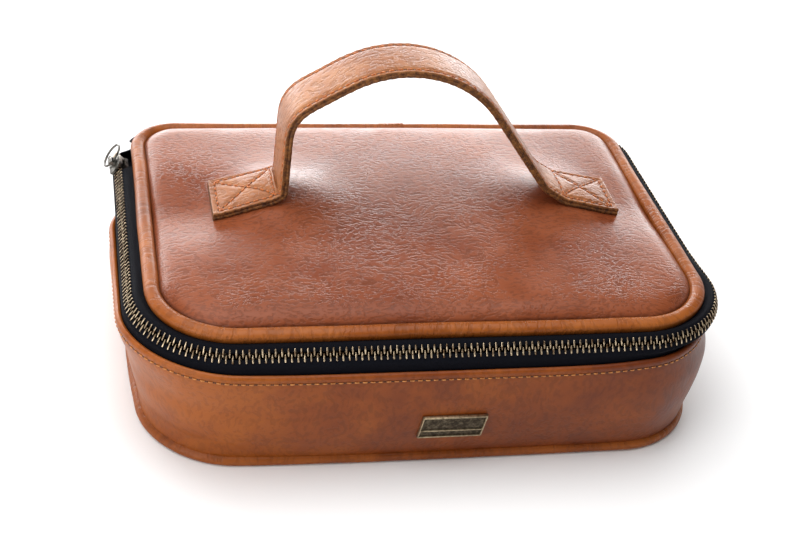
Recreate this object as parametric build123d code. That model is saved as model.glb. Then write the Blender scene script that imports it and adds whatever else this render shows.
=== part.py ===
"""Leather jewellery case: a soft tray with a padded lid on a leather hinge, closed by a metal zip.

Millimetres. The origin is on the resting face, under the middle of the case.
+X runs to the right, -Y is the front with the badge, +Y the hinged back, +Z up.

The whole case follows one plan outline, the centre line of the lid piping. Every ring round the
case is a section swept along it. A section is drawn with its x as the distance outwards from
the outline and its y as the height above the resting face.
"""
from build123d import *
import os
from math import atan2, ceil, cos, degrees, floor, hypot, pi, radians, sin, tan

os.makedirs("parts", exist_ok=True)

# ---------------------------------------------------------------- driving dimensions
# plan outline
HALF_WIDTH = 113.0
HALF_DEPTH = 80.0
FRONT_CORNER_R = 32.0
BACK_CORNER_R = 18.0

# lid
PIPING_R = 3.2
PIPING_SIDES = 8
PIPING_Z = 60.0
LID_LEATHER = 1.4
LID_BOARD = 1.9
LID_LINING = 0.8
BOARD_DROP = 0.6
CROWN_Z = 66.2
SHOULDER_END = 16.0
SHOULDER_CUTS = 3

# zip band
ZIP_TILT_ANGLE = 55.0
CHAIN_OUT = 8.6
CHAIN_DROP = 4.8
TAPE = 0.8
TAPE_SEAM_DROP = 2.5
SEAM_IN = 1.6
TAPE_RISE_ANGLE = 6.0
TAPE_BEND_R = 2.8
TAPE_DROP_OUT = 11.1
TAPE_END_Z = 40.0
TAPE_GAP = 2.4
TOOTH_PITCH = 2.46
TOOTH_WIDTH = 0.9
TOOTH_HEIGHT = 2.4
TOOTH_HEAD = 0.5
TOOTH_REACH = 2.7
CHAIN_END_ANGLE = 35.0
STOP_LENGTH = 1.6

# slider and its ring
SLIDER_LENGTH = 10.0
SLIDER_WIDTH = 7.2
SLIDER_CORNER_R = 1.8
SLIDER_PLATE = 1.0
SLIDER_LIP = 0.5
SLIDER_TRAVEL = 5.0
SLIDER_PLACE_Y = 55.0
WEDGE_LENGTH = 2.5
WEDGE_AHEAD = 3.0
BRIDGE_LENGTH = 5.2
BRIDGE_WIDTH = 1.6
BRIDGE_BAR = 0.9
BRIDGE_AT = 1.0
RING_WIRE_R = 0.5
RING_WIRE_SIDES = 6
RING_R = 5.5
RING_PLAY = 0.15

# walls
WALL_LEATHER = 1.8
WALL_BOARD = 1.8
WALL_LINING = 1.0
RIM_THICKNESS = 2.3
RIM_BEVEL = 0.7
RIM_Z = 48.0
RIM_DEPTH = 9.0
WALL_FOOT_OUT = 5.6
WALL_BULGE_Z = 24.0
WALL_BULGE_R = 70.0
LINING_TOP_Z = 46.5

# bottom
WELT_R = 2.2
WELT_SIDES = 8
WELT_OUT = 6.2
BOTTOM_LEATHER = 1.6
BOTTOM_BOARD = 2.0
FLOOR_PAD = 2.5

# hinge
HINGE_LEATHER = 1.2
HINGE_SLIT = 0.5

# handle
STRAP_WIDTH = 26.0
STRAP_LAYER = 1.7
STRAP_Y = 6.0
TAB_LEFT_X = -85.6
TAB_RIGHT_X = 91.7
FOOT_LEFT_X = -55.0
FOOT_RIGHT_X = 64.4
FOOT_R = 7.0
LEFT_LEG_TOP = 45.5
LEFT_LEG_LEAN = 0.6
LEFT_SHOULDER_R = 13.7
CREST_X = 3.6
CREST_RISE = 81.0
CREST_R = 46.4

# badge
BADGE_WIDTH = 26.5
BADGE_HEIGHT = 12.2
BADGE_SHEAR = 1.0
BADGE_PLATE = 1.0
BADGE_RIM = 0.5
BADGE_RIM_WIDTH = 0.7
BADGE_BAR_DROP = 2.0
BADGE_X = 3.2
BADGE_Z = 22.6

# inside
DIVIDER = 3.0
DIVIDER_HEIGHT = 28.0
DIVIDER_Y = 8.0
BACK_CELL_X = 38.0
FRONT_CELL_X = 30.0
ROLL_COUNT = 4
ROLL_GAP = 1.4
ROLL_HEIGHT = 22.0
ROLLS_FROM_WALL = 30.0
POCKET_WIDTH = 150.0
POCKET_DEPTH = 74.0
POCKET_THICKNESS = 2.2
POCKET_BINDING = 6.0

# clearances
LAID = 0.1
SEWN = 0.3
RUNNING = 0.3

# ---------------------------------------------------------------- plan outline
FRONT_X = HALF_WIDTH - FRONT_CORNER_R
FRONT_Y = HALF_DEPTH - FRONT_CORNER_R
BACK_X = HALF_WIDTH - BACK_CORNER_R
BACK_Y = HALF_DEPTH - BACK_CORNER_R


def heading(angle):
    """Unit vector in the plan at an angle from +X."""
    return cos(radians(angle)), sin(radians(angle))


def station(x, y, outward):
    """Section plane at a point of the plan: section x points outwards, section y up."""
    c, s = heading(outward)
    return Plane(origin=(x, y, 0), x_dir=(c, s, 0), z_dir=(s, -c, 0))


def straight(section, x, y, outward, length):
    """Sweep a section along a straight side that starts at x, y and runs anticlockwise."""
    c, s = heading(outward)
    return extrude(station(x, y, outward) * section, amount=length, dir=(-s, c, 0))


def corner(section, x, y, radius, outward, turn=90.0):
    """Sweep a section round a corner with its centre at x, y."""
    c, s = heading(outward)
    start = station(x + radius * c, y + radius * s, outward) * section
    return revolve(start, Axis((x, y, 0), (0, 0, 1)), revolution_arc=turn)


def back_side(section):
    return straight(section, BACK_X, HALF_DEPTH, 90, 2 * BACK_X)


def three_sides(section):
    """Sweep a section from one end of the back round the left, the front and the right."""
    return [
        corner(section, -BACK_X, BACK_Y, BACK_CORNER_R, 90),
        straight(section, -HALF_WIDTH, BACK_Y, 180, BACK_Y + FRONT_Y),
        corner(section, -FRONT_X, -FRONT_Y, FRONT_CORNER_R, 180),
        straight(section, -FRONT_X, -HALF_DEPTH, 270, 2 * FRONT_X),
        corner(section, FRONT_X, -FRONT_Y, FRONT_CORNER_R, 270),
        straight(section, HALF_WIDTH, -FRONT_Y, 0, BACK_Y + FRONT_Y),
        corner(section, BACK_X, BACK_Y, BACK_CORNER_R, 0),
    ]


def joined(pieces):
    """Fuse a list of pieces into one solid."""
    return pieces[0].fuse(*pieces[1:])


def ring(section):
    """Sweep a section all round the case."""
    return joined([back_side(section)] + three_sides(section))


def slab(outset, low, high):
    """Flat layer with the plan outline grown by outset, between two heights."""
    plan = Rectangle(2 * (HALF_WIDTH + outset), 2 * (HALF_DEPTH + outset))
    rows = plan.vertices().group_by(Axis.Y)
    plan = fillet(rows[0], FRONT_CORNER_R + outset)
    rows = plan.vertices().group_by(Axis.Y)
    plan = fillet(rows[-1], BACK_CORNER_R + outset)
    return extrude(Plane.XY.offset(low) * plan, amount=high - low)


# ---------------------------------------------------------------- strips of sheet material
def rounded(points, radii):
    """Path of lines and tangent arcs through points, one radius for each inner point."""
    legs = []
    here = points[0]
    for bend, after, radius in zip(points[1:-1], points[2:], radii):
        going = degrees(atan2(bend[1] - here[1], bend[0] - here[0]))
        leaving = degrees(atan2(after[1] - bend[1], after[0] - bend[0]))
        turn = (leaving - going + 180) % 360 - 180
        side = 1 if turn > 0 else -1
        setback = radius * tan(radians(abs(turn) / 2))
        u, v = heading(going)
        start = (bend[0] - setback * u, bend[1] - setback * v)
        centre = (start[0] - side * radius * v, start[1] + side * radius * u)
        legs.append(("line", here, start))
        legs.append(("arc", centre, side * radius, going - side * 90, turn))
        u, v = heading(leaving)
        here = (bend[0] + setback * u, bend[1] + setback * v)
    legs.append(("line", here, points[-1]))
    return legs


def offset_leg(leg, left):
    """Edge of a path leg moved to its left, with its two end points."""
    if leg[0] == "line":
        (x0, y0), (x1, y1) = leg[1], leg[2]
        length = hypot(x1 - x0, y1 - y0)
        u, v = -(y1 - y0) / length * left, (x1 - x0) / length * left
        first, last = (x0 + u, y0 + v), (x1 + u, y1 + v)
        return Line(first, last), first, last
    _, centre, signed, begin, turn = leg
    radius = abs(signed) - left * (1 if signed > 0 else -1)
    spots = [
        (centre[0] + radius * heading(begin + turn * share)[0],
         centre[1] + radius * heading(begin + turn * share)[1])
        for share in (0, 0.5, 1)
    ]
    return ThreePointArc(*spots), spots[0], spots[2]


def strip(path, low, high):
    """Face of a sheet that follows a path, from low to high on the path's left."""
    lows = [offset_leg(leg, low) for leg in path]
    highs = [offset_leg(leg, high) for leg in path]
    caps = [Line(lows[0][1], highs[0][1]), Line(lows[-1][2], highs[-1][2])]
    return make_face([e[0] for e in lows] + [e[0] for e in highs] + caps)


def mitred(points, low, high):
    """Face of a sheet folded sharply at each inner point, from low to high on the path's left."""
    normals = []
    for (x0, y0), (x1, y1) in zip(points, points[1:]):
        length = hypot(x1 - x0, y1 - y0)
        normals.append(((y0 - y1) / length, (x1 - x0) / length))
    before, after = [normals[0]] + normals, normals + [normals[-1]]

    def side(left):
        moved = []
        for (x, y), (a, b), (c, d) in zip(points, before, after):
            share = left / (1 + a * c + b * d)
            moved.append((x + (a + c) * share, y + (b + d) * share))
        return moved

    return make_face(Polyline(*side(low), *reversed(side(high)), close=True))


def clipped(points, radii):
    """Points of a path whose inner corners are cut straight across where an arc would run."""
    path = [points[0]]
    for leg in rounded(points, radii):
        if leg[0] == "line":
            path += [leg[1], leg[2]]
    return path[1:]


def between(face, low, high):
    """Cut a section level at two heights."""
    reach = 4 * HALF_WIDTH
    return face & Pos(0, (low + high) / 2) * Rectangle(reach, high - low)


def at_height(line, height):
    """How far out a rising line of straight runs is at a height, and its angle there."""
    for (x0, y0), (x1, y1) in zip(line, line[1:]):
        if y0 <= height <= y1:
            share = (height - y0) / (y1 - y0)
            return x0 + share * (x1 - x0), degrees(atan2(y1 - y0, x1 - x0))
    raise ValueError("the line doesn't pass that height")


# ---------------------------------------------------------------- zip geometry
CHAIN_Z = PIPING_Z - CHAIN_DROP
TILT_C, TILT_S = cos(radians(ZIP_TILT_ANGLE)), sin(radians(ZIP_TILT_ANGLE))
SEAM_Z = PIPING_Z - TAPE_SEAM_DROP
TAPE_EDGE = TAPE_GAP / 2


def on_zip(down, out):
    """Section point in the zip's own plane: down across the chain, out of its face."""
    return (CHAIN_OUT + down * TILT_C + out * TILT_S, CHAIN_Z - down * TILT_S + out * TILT_C)


def tape_turns():
    """The two bends of the band: over the shoulder under the piping, and down into the wall."""
    slope = tan(radians(TAPE_RISE_ANGLE))
    fall = TILT_S / TILT_C
    over = (CHAIN_Z + fall * CHAIN_OUT - SEAM_Z) / (slope + fall)
    shoulder = (over, SEAM_Z + slope * over)
    into = (TAPE_DROP_OUT, CHAIN_Z - fall * (TAPE_DROP_OUT - CHAIN_OUT))
    return shoulder, into


SHOULDER, INTO_WALL = tape_turns()
SEAM = (-SEAM_IN, SEAM_Z - SEAM_IN * tan(radians(TAPE_RISE_ANGLE)))
UPPER_BAND = [SEAM, SHOULDER]
LOWER_BAND = [INTO_WALL, (TAPE_DROP_OUT, TAPE_END_Z)]


def upper_band(gap):
    """Points from the seam under the piping to gap short of the chain's centre line."""
    return UPPER_BAND + [on_zip(-gap, 0)]


def lower_band(gap):
    """Points from gap below the chain's centre line down inside the wall."""
    return [on_zip(gap, 0)] + LOWER_BAND


def chain_legs():
    """The chain's lengths: left side, front corner, front, front corner, right side, back corner."""
    front_arc = (FRONT_CORNER_R + CHAIN_OUT) * radians(90)
    back_arc = (BACK_CORNER_R + CHAIN_OUT) * radians(CHAIN_END_ANGLE)
    side = BACK_Y + FRONT_Y
    return [side, front_arc, 2 * FRONT_X, front_arc, side, back_arc]


def corner_station(x, y, radius, outward):
    c, s = heading(outward)
    return station(x + radius * c, y + radius * s, outward)


def chain_station(along):
    """Section plane at a length along the chain, from where the left side meets the back corner.

    A negative length lies in the back left corner.
    """
    if along < 0:
        outward = 180 + degrees(along / (BACK_CORNER_R + CHAIN_OUT))
        return corner_station(-BACK_X, BACK_Y, BACK_CORNER_R, outward)
    legs = chain_legs()
    leg = 0
    while leg < len(legs) - 1 and along > legs[leg]:
        along -= legs[leg]
        leg += 1
    if leg == 0:
        return station(-HALF_WIDTH, BACK_Y - along, 180)
    if leg == 1:
        outward = 180 + degrees(along / (FRONT_CORNER_R + CHAIN_OUT))
        return corner_station(-FRONT_X, -FRONT_Y, FRONT_CORNER_R, outward)
    if leg == 2:
        return station(-FRONT_X + along, -HALF_DEPTH, 270)
    if leg == 3:
        outward = 270 + degrees(along / (FRONT_CORNER_R + CHAIN_OUT))
        return corner_station(FRONT_X, -FRONT_Y, FRONT_CORNER_R, outward)
    if leg == 4:
        return station(HALF_WIDTH, -FRONT_Y + along, 0)
    return corner_station(BACK_X, BACK_Y, BACK_CORNER_R, degrees(along / (BACK_CORNER_R + CHAIN_OUT)))


CHAIN_END = sum(chain_legs())
SLIDER_FRONT = BACK_Y - SLIDER_PLACE_Y + SLIDER_LENGTH / 2
SLIDER_LIMIT = SLIDER_FRONT - SLIDER_LENGTH - SLIDER_TRAVEL


SLIDER_FRAME = Plane(
    origin=(-(HALF_WIDTH + CHAIN_OUT), SLIDER_PLACE_Y, CHAIN_Z),
    x_dir=(0, 1, 0),
    z_dir=(-TILT_S, 0, TILT_C),
)
MOUTH = TOOTH_HEIGHT / 2 + RUNNING
RING_FAR_Y = SLIDER_PLACE_Y + BRIDGE_AT + 2 * RING_R + RING_WIRE_R
RING_UP = MOUTH + SLIDER_PLATE + RUNNING + RING_WIRE_R + RING_PLAY


def block_on_tape(side, outline, length):
    """Piece on the edge of one tape. side is 1 on the lower tape and -1 on the upper one."""
    corners = [on_zip(side * down, out) for down, out in outline]
    return extrude(make_face(Polyline(*corners, close=True)), amount=length / 2, both=True)


def grip(head):
    """Outline of a metal piece: a full-height head, and a leg on the outer face of its tape."""
    half = TOOTH_HEIGHT / 2
    edge = TAPE_EDGE - LAID / 2
    face = TAPE / 2 + LAID / 2
    leg = [(edge, face), (TOOTH_REACH, face), (TOOTH_REACH, half)]
    return [(head, -half), (edge, -half)] + leg + [(head, half)]


def tooth_row(side, start, phase):
    """A row of teeth from a length along the chain to its end, phase in pitches."""
    tooth = block_on_tape(side, grip(-TOOTH_HEAD), TOOTH_WIDTH)
    first = ceil(start / TOOTH_PITCH - phase)
    last = floor(CHAIN_END / TOOTH_PITCH - phase)
    return [
        chain_station((number + phase) * TOOTH_PITCH).location * tooth
        for number in range(first, last + 1)
    ]


# ---------------------------------------------------------------- base
RIM_OUT = TAPE_DROP_OUT + TAPE / 2 + LAID + RIM_THICKNESS
WALL_LINE = clipped([(WALL_FOOT_OUT, 0), (RIM_OUT, WALL_BULGE_Z), (RIM_OUT, RIM_Z)], [WALL_BULGE_R])
FOOT_ANGLE = atan2(WALL_BULGE_Z, RIM_OUT - WALL_FOOT_OUT)
WALL_FOOT_Z = 2 * WELT_R + LAID
BOARD_TOP = BOTTOM_LEATHER + BOTTOM_BOARD
FLOOR_Z = BOARD_TOP + FLOOR_PAD
BOARD_IN = WALL_LEATHER / sin(FOOT_ANGLE) + LAID
LINING_IN = BOARD_IN + WALL_BOARD + LAID
LINING_FACE = LINING_IN + WALL_LINING


def wall_out(height):
    """How far outside the plan outline the wall's outer face is at a height."""
    return at_height(WALL_LINE, height)[0]


def inner_out(height):
    """How far outside the plan outline the lining's face is at a height."""
    return wall_out(height) - LINING_FACE


def wall_layer(inset, thickness, low, high):
    """Section of a board or lining that follows the wall's straight runs."""
    heights = [low] + [z for _, z in WALL_LINE if low < z < high] + [high]
    outer = [(wall_out(z) - inset, z) for z in heights]
    inner = [(wall_out(z) - inset - thickness, z) for z in reversed(heights)]
    return make_face(Polyline(*outer, *inner, close=True))


def base_bottom_panel():
    return slab(WELT_OUT - WELT_R - LAID, 0, BOTTOM_LEATHER)


def base_board():
    return slab(WELT_OUT - WELT_R - LAID, BOTTOM_LEATHER, BOARD_TOP)


def base_welt():
    """Piping in the bottom seam. Its section is a polygon that stands on one flat side."""
    cord = RegularPolygon(WELT_R, WELT_SIDES, major_radius=False, rotation=270 - 180 / WELT_SIDES)
    return ring(Pos(WELT_OUT, WELT_R) * cord)


def wall_leather():
    """Outer wall with its top edge folded in to make a thicker rim, bevelled outside."""
    sheet = between(mitred(WALL_LINE, 0, WALL_LEATHER), WALL_FOOT_Z, RIM_Z - RIM_BEVEL)
    inner = RIM_OUT - RIM_THICKNESS
    fold = Polyline(
        (inner, RIM_Z - RIM_DEPTH), (inner, RIM_Z), (RIM_OUT - RIM_BEVEL, RIM_Z),
        (RIM_OUT, RIM_Z - RIM_BEVEL), (RIM_OUT, RIM_Z - RIM_DEPTH),
        close=True,
    )
    return ring(sheet + make_face(fold))


def wall_stiffener():
    top = min(RIM_Z - RIM_DEPTH, TAPE_END_Z) - RUNNING
    return ring(wall_layer(BOARD_IN, WALL_BOARD, WALL_FOOT_Z, top))


def wall_lining():
    return ring(wall_layer(LINING_IN, WALL_LINING, BOARD_TOP + LAID, LINING_TOP_Z))


def floor_pad():
    return slab(inner_out(BOARD_TOP + LAID) - LAID, BOARD_TOP, FLOOR_Z)


def tape(points):
    """Zip tape round three sides, folded along the bends of its section."""
    return joined(three_sides(mitred(points, -TAPE / 2, TAPE / 2)))


def hinge_leather(points):
    """Leather along the back whose outer face carries on the tape's outer face."""
    path = rounded(points, [TAPE_BEND_R])
    return back_side(strip(path, TAPE / 2 - HINGE_LEATHER, TAPE / 2))


def zip_tape_lower():
    return tape(lower_band(TAPE_EDGE))


def hinge_leather_lower():
    return hinge_leather(lower_band(HINGE_SLIT / 2))


def zip_end_stops():
    """Metal blocks on the lower tape, just past the slider's travel and past the far teeth."""
    stop = block_on_tape(1, grip(TOOTH_HEAD / 2), STOP_LENGTH)
    places = [SLIDER_LIMIT - RUNNING - STOP_LENGTH / 2, CHAIN_END + TOOTH_PITCH + STOP_LENGTH / 2]
    return [chain_station(place).location * stop for place in places]


def badge_plate():
    """Plain slanted name plate with a raised rim and one crossbar, bare of any lettering."""
    out, angle = at_height(WALL_LINE, BADGE_Z)
    face = Plane(
        origin=(BADGE_X, -(HALF_DEPTH + out), BADGE_Z),
        x_dir=(1, 0, 0),
        z_dir=(0, -sin(radians(angle)), -cos(radians(angle))),
    )

    def slanted(inset):
        w = BADGE_WIDTH / 2 - inset
        h = BADGE_HEIGHT / 2 - inset
        lean = BADGE_SHEAR * h / BADGE_HEIGHT
        return make_face(Polyline((-w - lean, -h), (w - lean, -h), (w + lean, h), (-w + lean, h), close=True))

    plate = extrude(slanted(0), amount=BADGE_PLATE)
    rim = extrude(slanted(0) - slanted(BADGE_RIM_WIDTH), amount=BADGE_PLATE + BADGE_RIM)
    band = Pos(0, -BADGE_BAR_DROP) * Rectangle(2 * BADGE_WIDTH, BADGE_RIM_WIDTH)
    bar = extrude(slanted(0) & band, amount=BADGE_PLATE + BADGE_RIM)
    return face.location * Pos(0, 0, LAID) * (plate + rim + bar)


def divider_between(x, y, across_x, across_y):
    """Upright padded board standing on the floor pad."""
    box = Box(across_x, across_y, DIVIDER_HEIGHT, align=(Align.CENTER, Align.CENTER, Align.MIN))
    return Pos(x, y, FLOOR_Z) * box


CELL_OUT = inner_out(FLOOR_Z) - SEWN
LEFT_DIVIDER_X = -(HALF_WIDTH + CELL_OUT) + ROLLS_FROM_WALL + DIVIDER / 2
ROLL_LENGTH = FRONT_CELL_X - LEFT_DIVIDER_X - DIVIDER - 2 * ROLL_GAP


def long_divider():
    return divider_between(0, DIVIDER_Y, 2 * (HALF_WIDTH + CELL_OUT), DIVIDER)


def back_cell_divider(side):
    low = DIVIDER_Y + DIVIDER / 2
    high = HALF_DEPTH + CELL_OUT
    return divider_between(side * BACK_CELL_X, (low + high) / 2, DIVIDER, high - low)


def front_cell_divider(x):
    low = -(HALF_DEPTH + CELL_OUT)
    high = DIVIDER_Y - DIVIDER / 2
    return divider_between(x, (low + high) / 2, DIVIDER, high - low)


def ring_rolls():
    """Foam rolls laid side by side; rings are pushed into the slots between them."""
    room = HALF_DEPTH + CELL_OUT + DIVIDER_Y - DIVIDER / 2
    width = (room - (ROLL_COUNT + 1) * ROLL_GAP) / ROLL_COUNT
    half = width / 2
    profile = Pos(0, (ROLL_HEIGHT - half) / 2) * Rectangle(width, ROLL_HEIGHT - half)
    profile += Pos(0, ROLL_HEIGHT - half) * Circle(half)
    right = FRONT_CELL_X - DIVIDER / 2 - ROLL_GAP
    first = -(HALF_DEPTH + CELL_OUT) + ROLL_GAP + half
    rolls = []
    for number in range(ROLL_COUNT):
        place = Plane(origin=(right, first + number * (width + ROLL_GAP), FLOOR_Z),
                      x_dir=(0, 1, 0), z_dir=(1, 0, 0))
        rolls.append(extrude(place * profile, amount=-ROLL_LENGTH))
    return rolls


# ---------------------------------------------------------------- lid
BOARD_EDGE = PIPING_R + SEWN
LID_BOARD_TOP = PIPING_Z - BOARD_DROP
LID_BOARD_LOW = LID_BOARD_TOP - LID_BOARD
LID_LINING_LOW = LID_BOARD_LOW - LID_LINING
PANEL_IN = PIPING_R + LAID * 2


def shoulder_line(inset):
    """The lid leather's quarter-oval shoulder, moved in by an inset, from its seam to the crown."""
    foot = LID_BOARD_TOP + LAID
    run = SHOULDER_END - PANEL_IN - inset
    rise = CROWN_Z - inset - foot
    turns = [pi / 2 * cut / SHOULDER_CUTS for cut in range(SHOULDER_CUTS + 1)]
    return [(run * cos(turn) - SHOULDER_END, foot + rise * sin(turn)) for turn in turns]


def lid_top_panel():
    outline = Polyline(*shoulder_line(0), *reversed(shoulder_line(LID_LEATHER)), close=True)
    return ring(make_face(outline)) + slab(-SHOULDER_END, CROWN_Z - LID_LEATHER, CROWN_Z)


def lid_padding():
    """Foam under the lid leather, a little smaller than the space that it fills."""
    inset = LID_LEATHER + SEWN
    foot = LID_BOARD_TOP
    line = shoulder_line(inset)
    outline = Polyline(*line, (-SHOULDER_END, foot), (line[0][0], foot), close=True)
    return ring(make_face(outline)) + slab(-SHOULDER_END, foot, CROWN_Z - inset)


def lid_board():
    return slab(-BOARD_EDGE, LID_BOARD_LOW, LID_BOARD_TOP)


def lid_lining():
    return slab(-SEAM_IN - SEWN, LID_LINING_LOW, LID_BOARD_LOW)


def lid_piping():
    """Leather-wrapped cord, many-sided in section, that is sewn down flat on the zip tape."""
    tape_top = SEAM_Z + PIPING_R * tan(radians(TAPE_RISE_ANGLE)) + TAPE / 2 + LAID
    cord = RegularPolygon(PIPING_R, PIPING_SIDES, major_radius=False, rotation=270 - 180 / PIPING_SIDES)
    return ring(between(Pos(0, PIPING_Z) * cord, tape_top, PIPING_Z + 2 * PIPING_R))


def zip_tape_upper():
    """Upper tape, with its edge turned back clear of the slider and the slider's travel."""
    clear = on_zip(-SLIDER_WIDTH / 2, -MOUTH - SLIDER_PLATE)[0] - RUNNING
    low = BACK_Y - SLIDER_FRONT - RUNNING
    high = RING_FAR_Y + SLIDER_TRAVEL + RUNNING
    gap = Box(HALF_WIDTH, high - low, 4 * PIPING_R, align=(Align.MAX, Align.MIN, Align.CENTER))
    return tape(upper_band(TAPE_EDGE)) - Pos(-(HALF_WIDTH + clear), low, SEAM_Z) * gap


def hinge_leather_upper():
    return hinge_leather(upper_band(HINGE_SLIT / 2))


def strap_path():
    """Underside of the handle: two sewn tabs, two legs and an arch that leans to the left."""
    lid = CROWN_Z + LAID
    return rounded(
        [
            (TAB_LEFT_X, lid),
            (FOOT_LEFT_X, lid),
            (FOOT_LEFT_X + LEFT_LEG_LEAN, lid + LEFT_LEG_TOP),
            (CREST_X, lid + CREST_RISE),
            (FOOT_RIGHT_X, lid),
            (TAB_RIGHT_X, lid),
        ],
        [FOOT_R, LEFT_SHOULDER_R, CREST_R, FOOT_R],
    )


def handle_layer(low, high):
    face = Plane(origin=(0, STRAP_Y - STRAP_WIDTH / 2, 0), x_dir=(1, 0, 0), z_dir=(0, -1, 0))
    return extrude(face * strip(strap_path(), low, high), amount=STRAP_WIDTH, dir=(0, 1, 0))


def handle_lining_strap():
    return handle_layer(0, STRAP_LAYER)


def handle_top_strap():
    return handle_layer(STRAP_LAYER, 2 * STRAP_LAYER)


POCKET_MOUTH_Y = POCKET_DEPTH / 2


def lid_pocket():
    """Gathered pocket sewn to the lid lining, open along its back edge."""
    box = Box(POCKET_WIDTH, POCKET_DEPTH, POCKET_THICKNESS, align=(Align.CENTER, Align.CENTER, Align.MAX))
    return Pos(0, 0, LID_LINING_LOW) * box


def lid_pocket_binding():
    """Elastic binding along the pocket's mouth."""
    box = Box(POCKET_WIDTH, POCKET_BINDING, POCKET_THICKNESS, align=(Align.CENTER, Align.MIN, Align.MAX))
    return Pos(0, POCKET_MOUTH_Y, LID_LINING_LOW) * box


# ---------------------------------------------------------------- slider
def zip_slider():
    """Two plates with side lips, joined by the wedge that parts the rows, and a bridge on top."""
    plan = RectangleRounded(SLIDER_LENGTH, SLIDER_WIDTH, SLIDER_CORNER_R)
    upper = Pos(0, 0, MOUTH) * extrude(plan, amount=SLIDER_PLATE)
    lower = Pos(0, 0, -MOUTH - SLIDER_PLATE) * extrude(plan, amount=SLIDER_PLATE)
    slot = TAPE / 2 + RUNNING
    lips = []
    for side in (-1, 1):
        for face in (-1, 1):
            lip = Box(SLIDER_LENGTH - 2 * SLIDER_CORNER_R, SLIDER_LIP, MOUTH - slot)
            lips.append(Pos(0, side * (SLIDER_WIDTH - SLIDER_LIP) / 2, face * (MOUTH + slot) / 2) * lip)
    wedge_low = -(SLIDER_WIDTH / 2 - SLIDER_LIP)
    wedge_high = -TOOTH_HEAD - RUNNING
    wedge = Box(WEDGE_LENGTH, wedge_high - wedge_low, 2 * MOUTH)
    wedge = Pos(WEDGE_AHEAD, (wedge_low + wedge_high) / 2, 0) * wedge
    arch_top = RING_UP + RING_WIRE_R + RING_PLAY + BRIDGE_BAR + RUNNING
    base = MOUTH + SLIDER_PLATE
    align = (Align.CENTER, Align.CENTER, Align.MIN)
    arch = Box(BRIDGE_LENGTH, BRIDGE_WIDTH, arch_top - base, align=align)
    opening = Box(BRIDGE_LENGTH - 2 * BRIDGE_BAR, 2 * BRIDGE_WIDTH, arch_top - base - BRIDGE_BAR, align=align)
    bridge = Pos(BRIDGE_AT, 0, base) * (arch - opening)
    return SLIDER_FRAME.location * joined([upper, lower, wedge] + lips + [bridge])


def pull_ring():
    """Wire ring threaded through the slider's bridge, lying back over the slider."""
    place = Pos(BRIDGE_AT + RING_R, 0, RING_UP)
    wire = Plane.XZ * Pos(RING_R, 0) * RegularPolygon(RING_WIRE_R, RING_WIRE_SIDES)
    return SLIDER_FRAME.location * place * revolve(wire, Axis.Z)


# ---------------------------------------------------------------- write the parts
def write(name, shape):
    solids = shape if isinstance(shape, list) else [shape]
    body = Compound(children=solids) if len(solids) > 1 else solids[0]
    export_step(body, f"parts/{name}.step")
    print(f"{name}: {len(solids)} piece(s), {sum(s.volume for s in solids):.0f} mm3")


PARTS = {
    "base_bottom_panel": base_bottom_panel,
    "base_board": base_board,
    "base_welt": base_welt,
    "wall_leather": wall_leather,
    "wall_stiffener": wall_stiffener,
    "wall_lining": wall_lining,
    "floor_pad": floor_pad,
    "zip_tape_lower": zip_tape_lower,
    "zip_teeth_lower": lambda: tooth_row(1, SLIDER_LIMIT + TOOTH_WIDTH, 0),
    "zip_end_stops": zip_end_stops,
    "hinge_leather_lower": hinge_leather_lower,
    "badge_plate": badge_plate,
    "long_divider": long_divider,
    "back_divider_left": lambda: back_cell_divider(-1),
    "back_divider_right": lambda: back_cell_divider(1),
    "front_divider_left": lambda: front_cell_divider(LEFT_DIVIDER_X),
    "front_divider_right": lambda: front_cell_divider(FRONT_CELL_X),
    "ring_rolls": ring_rolls,
    "lid_top_panel": lid_top_panel,
    "lid_padding": lid_padding,
    "lid_board": lid_board,
    "lid_lining": lid_lining,
    "lid_piping": lid_piping,
    "lid_pocket": lid_pocket,
    "lid_pocket_binding": lid_pocket_binding,
    "zip_tape_upper": zip_tape_upper,
    "zip_teeth_upper": lambda: tooth_row(-1, SLIDER_FRONT + TOOTH_WIDTH / 2 + RUNNING, 0.5),
    "hinge_leather_upper": hinge_leather_upper,
    "handle_lining_strap": handle_lining_strap,
    "handle_top_strap": handle_top_strap,
    "zip_slider": zip_slider,
    "pull_ring": pull_ring,
}

for node, make in PARTS.items():
    write(node, make())
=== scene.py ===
# %% [markdown]
# # A leather jewellery case
# The case is a divided tray with a padded lid on a leather hinge. A metal zip on a woven tape runs
# round three sides and holds the lid down. This lesson dresses the working model of the case in its
# real surfaces: waxed full-grain leather, brass teeth, woven tape, waxed thread and suede cloth.

# %% Load the working model
import bmesh
import bpy
from math import atan2, ceil, cos, degrees, exp, hypot, pi, radians, sin, tan
from mathutils import Matrix, Vector, noise


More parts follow.
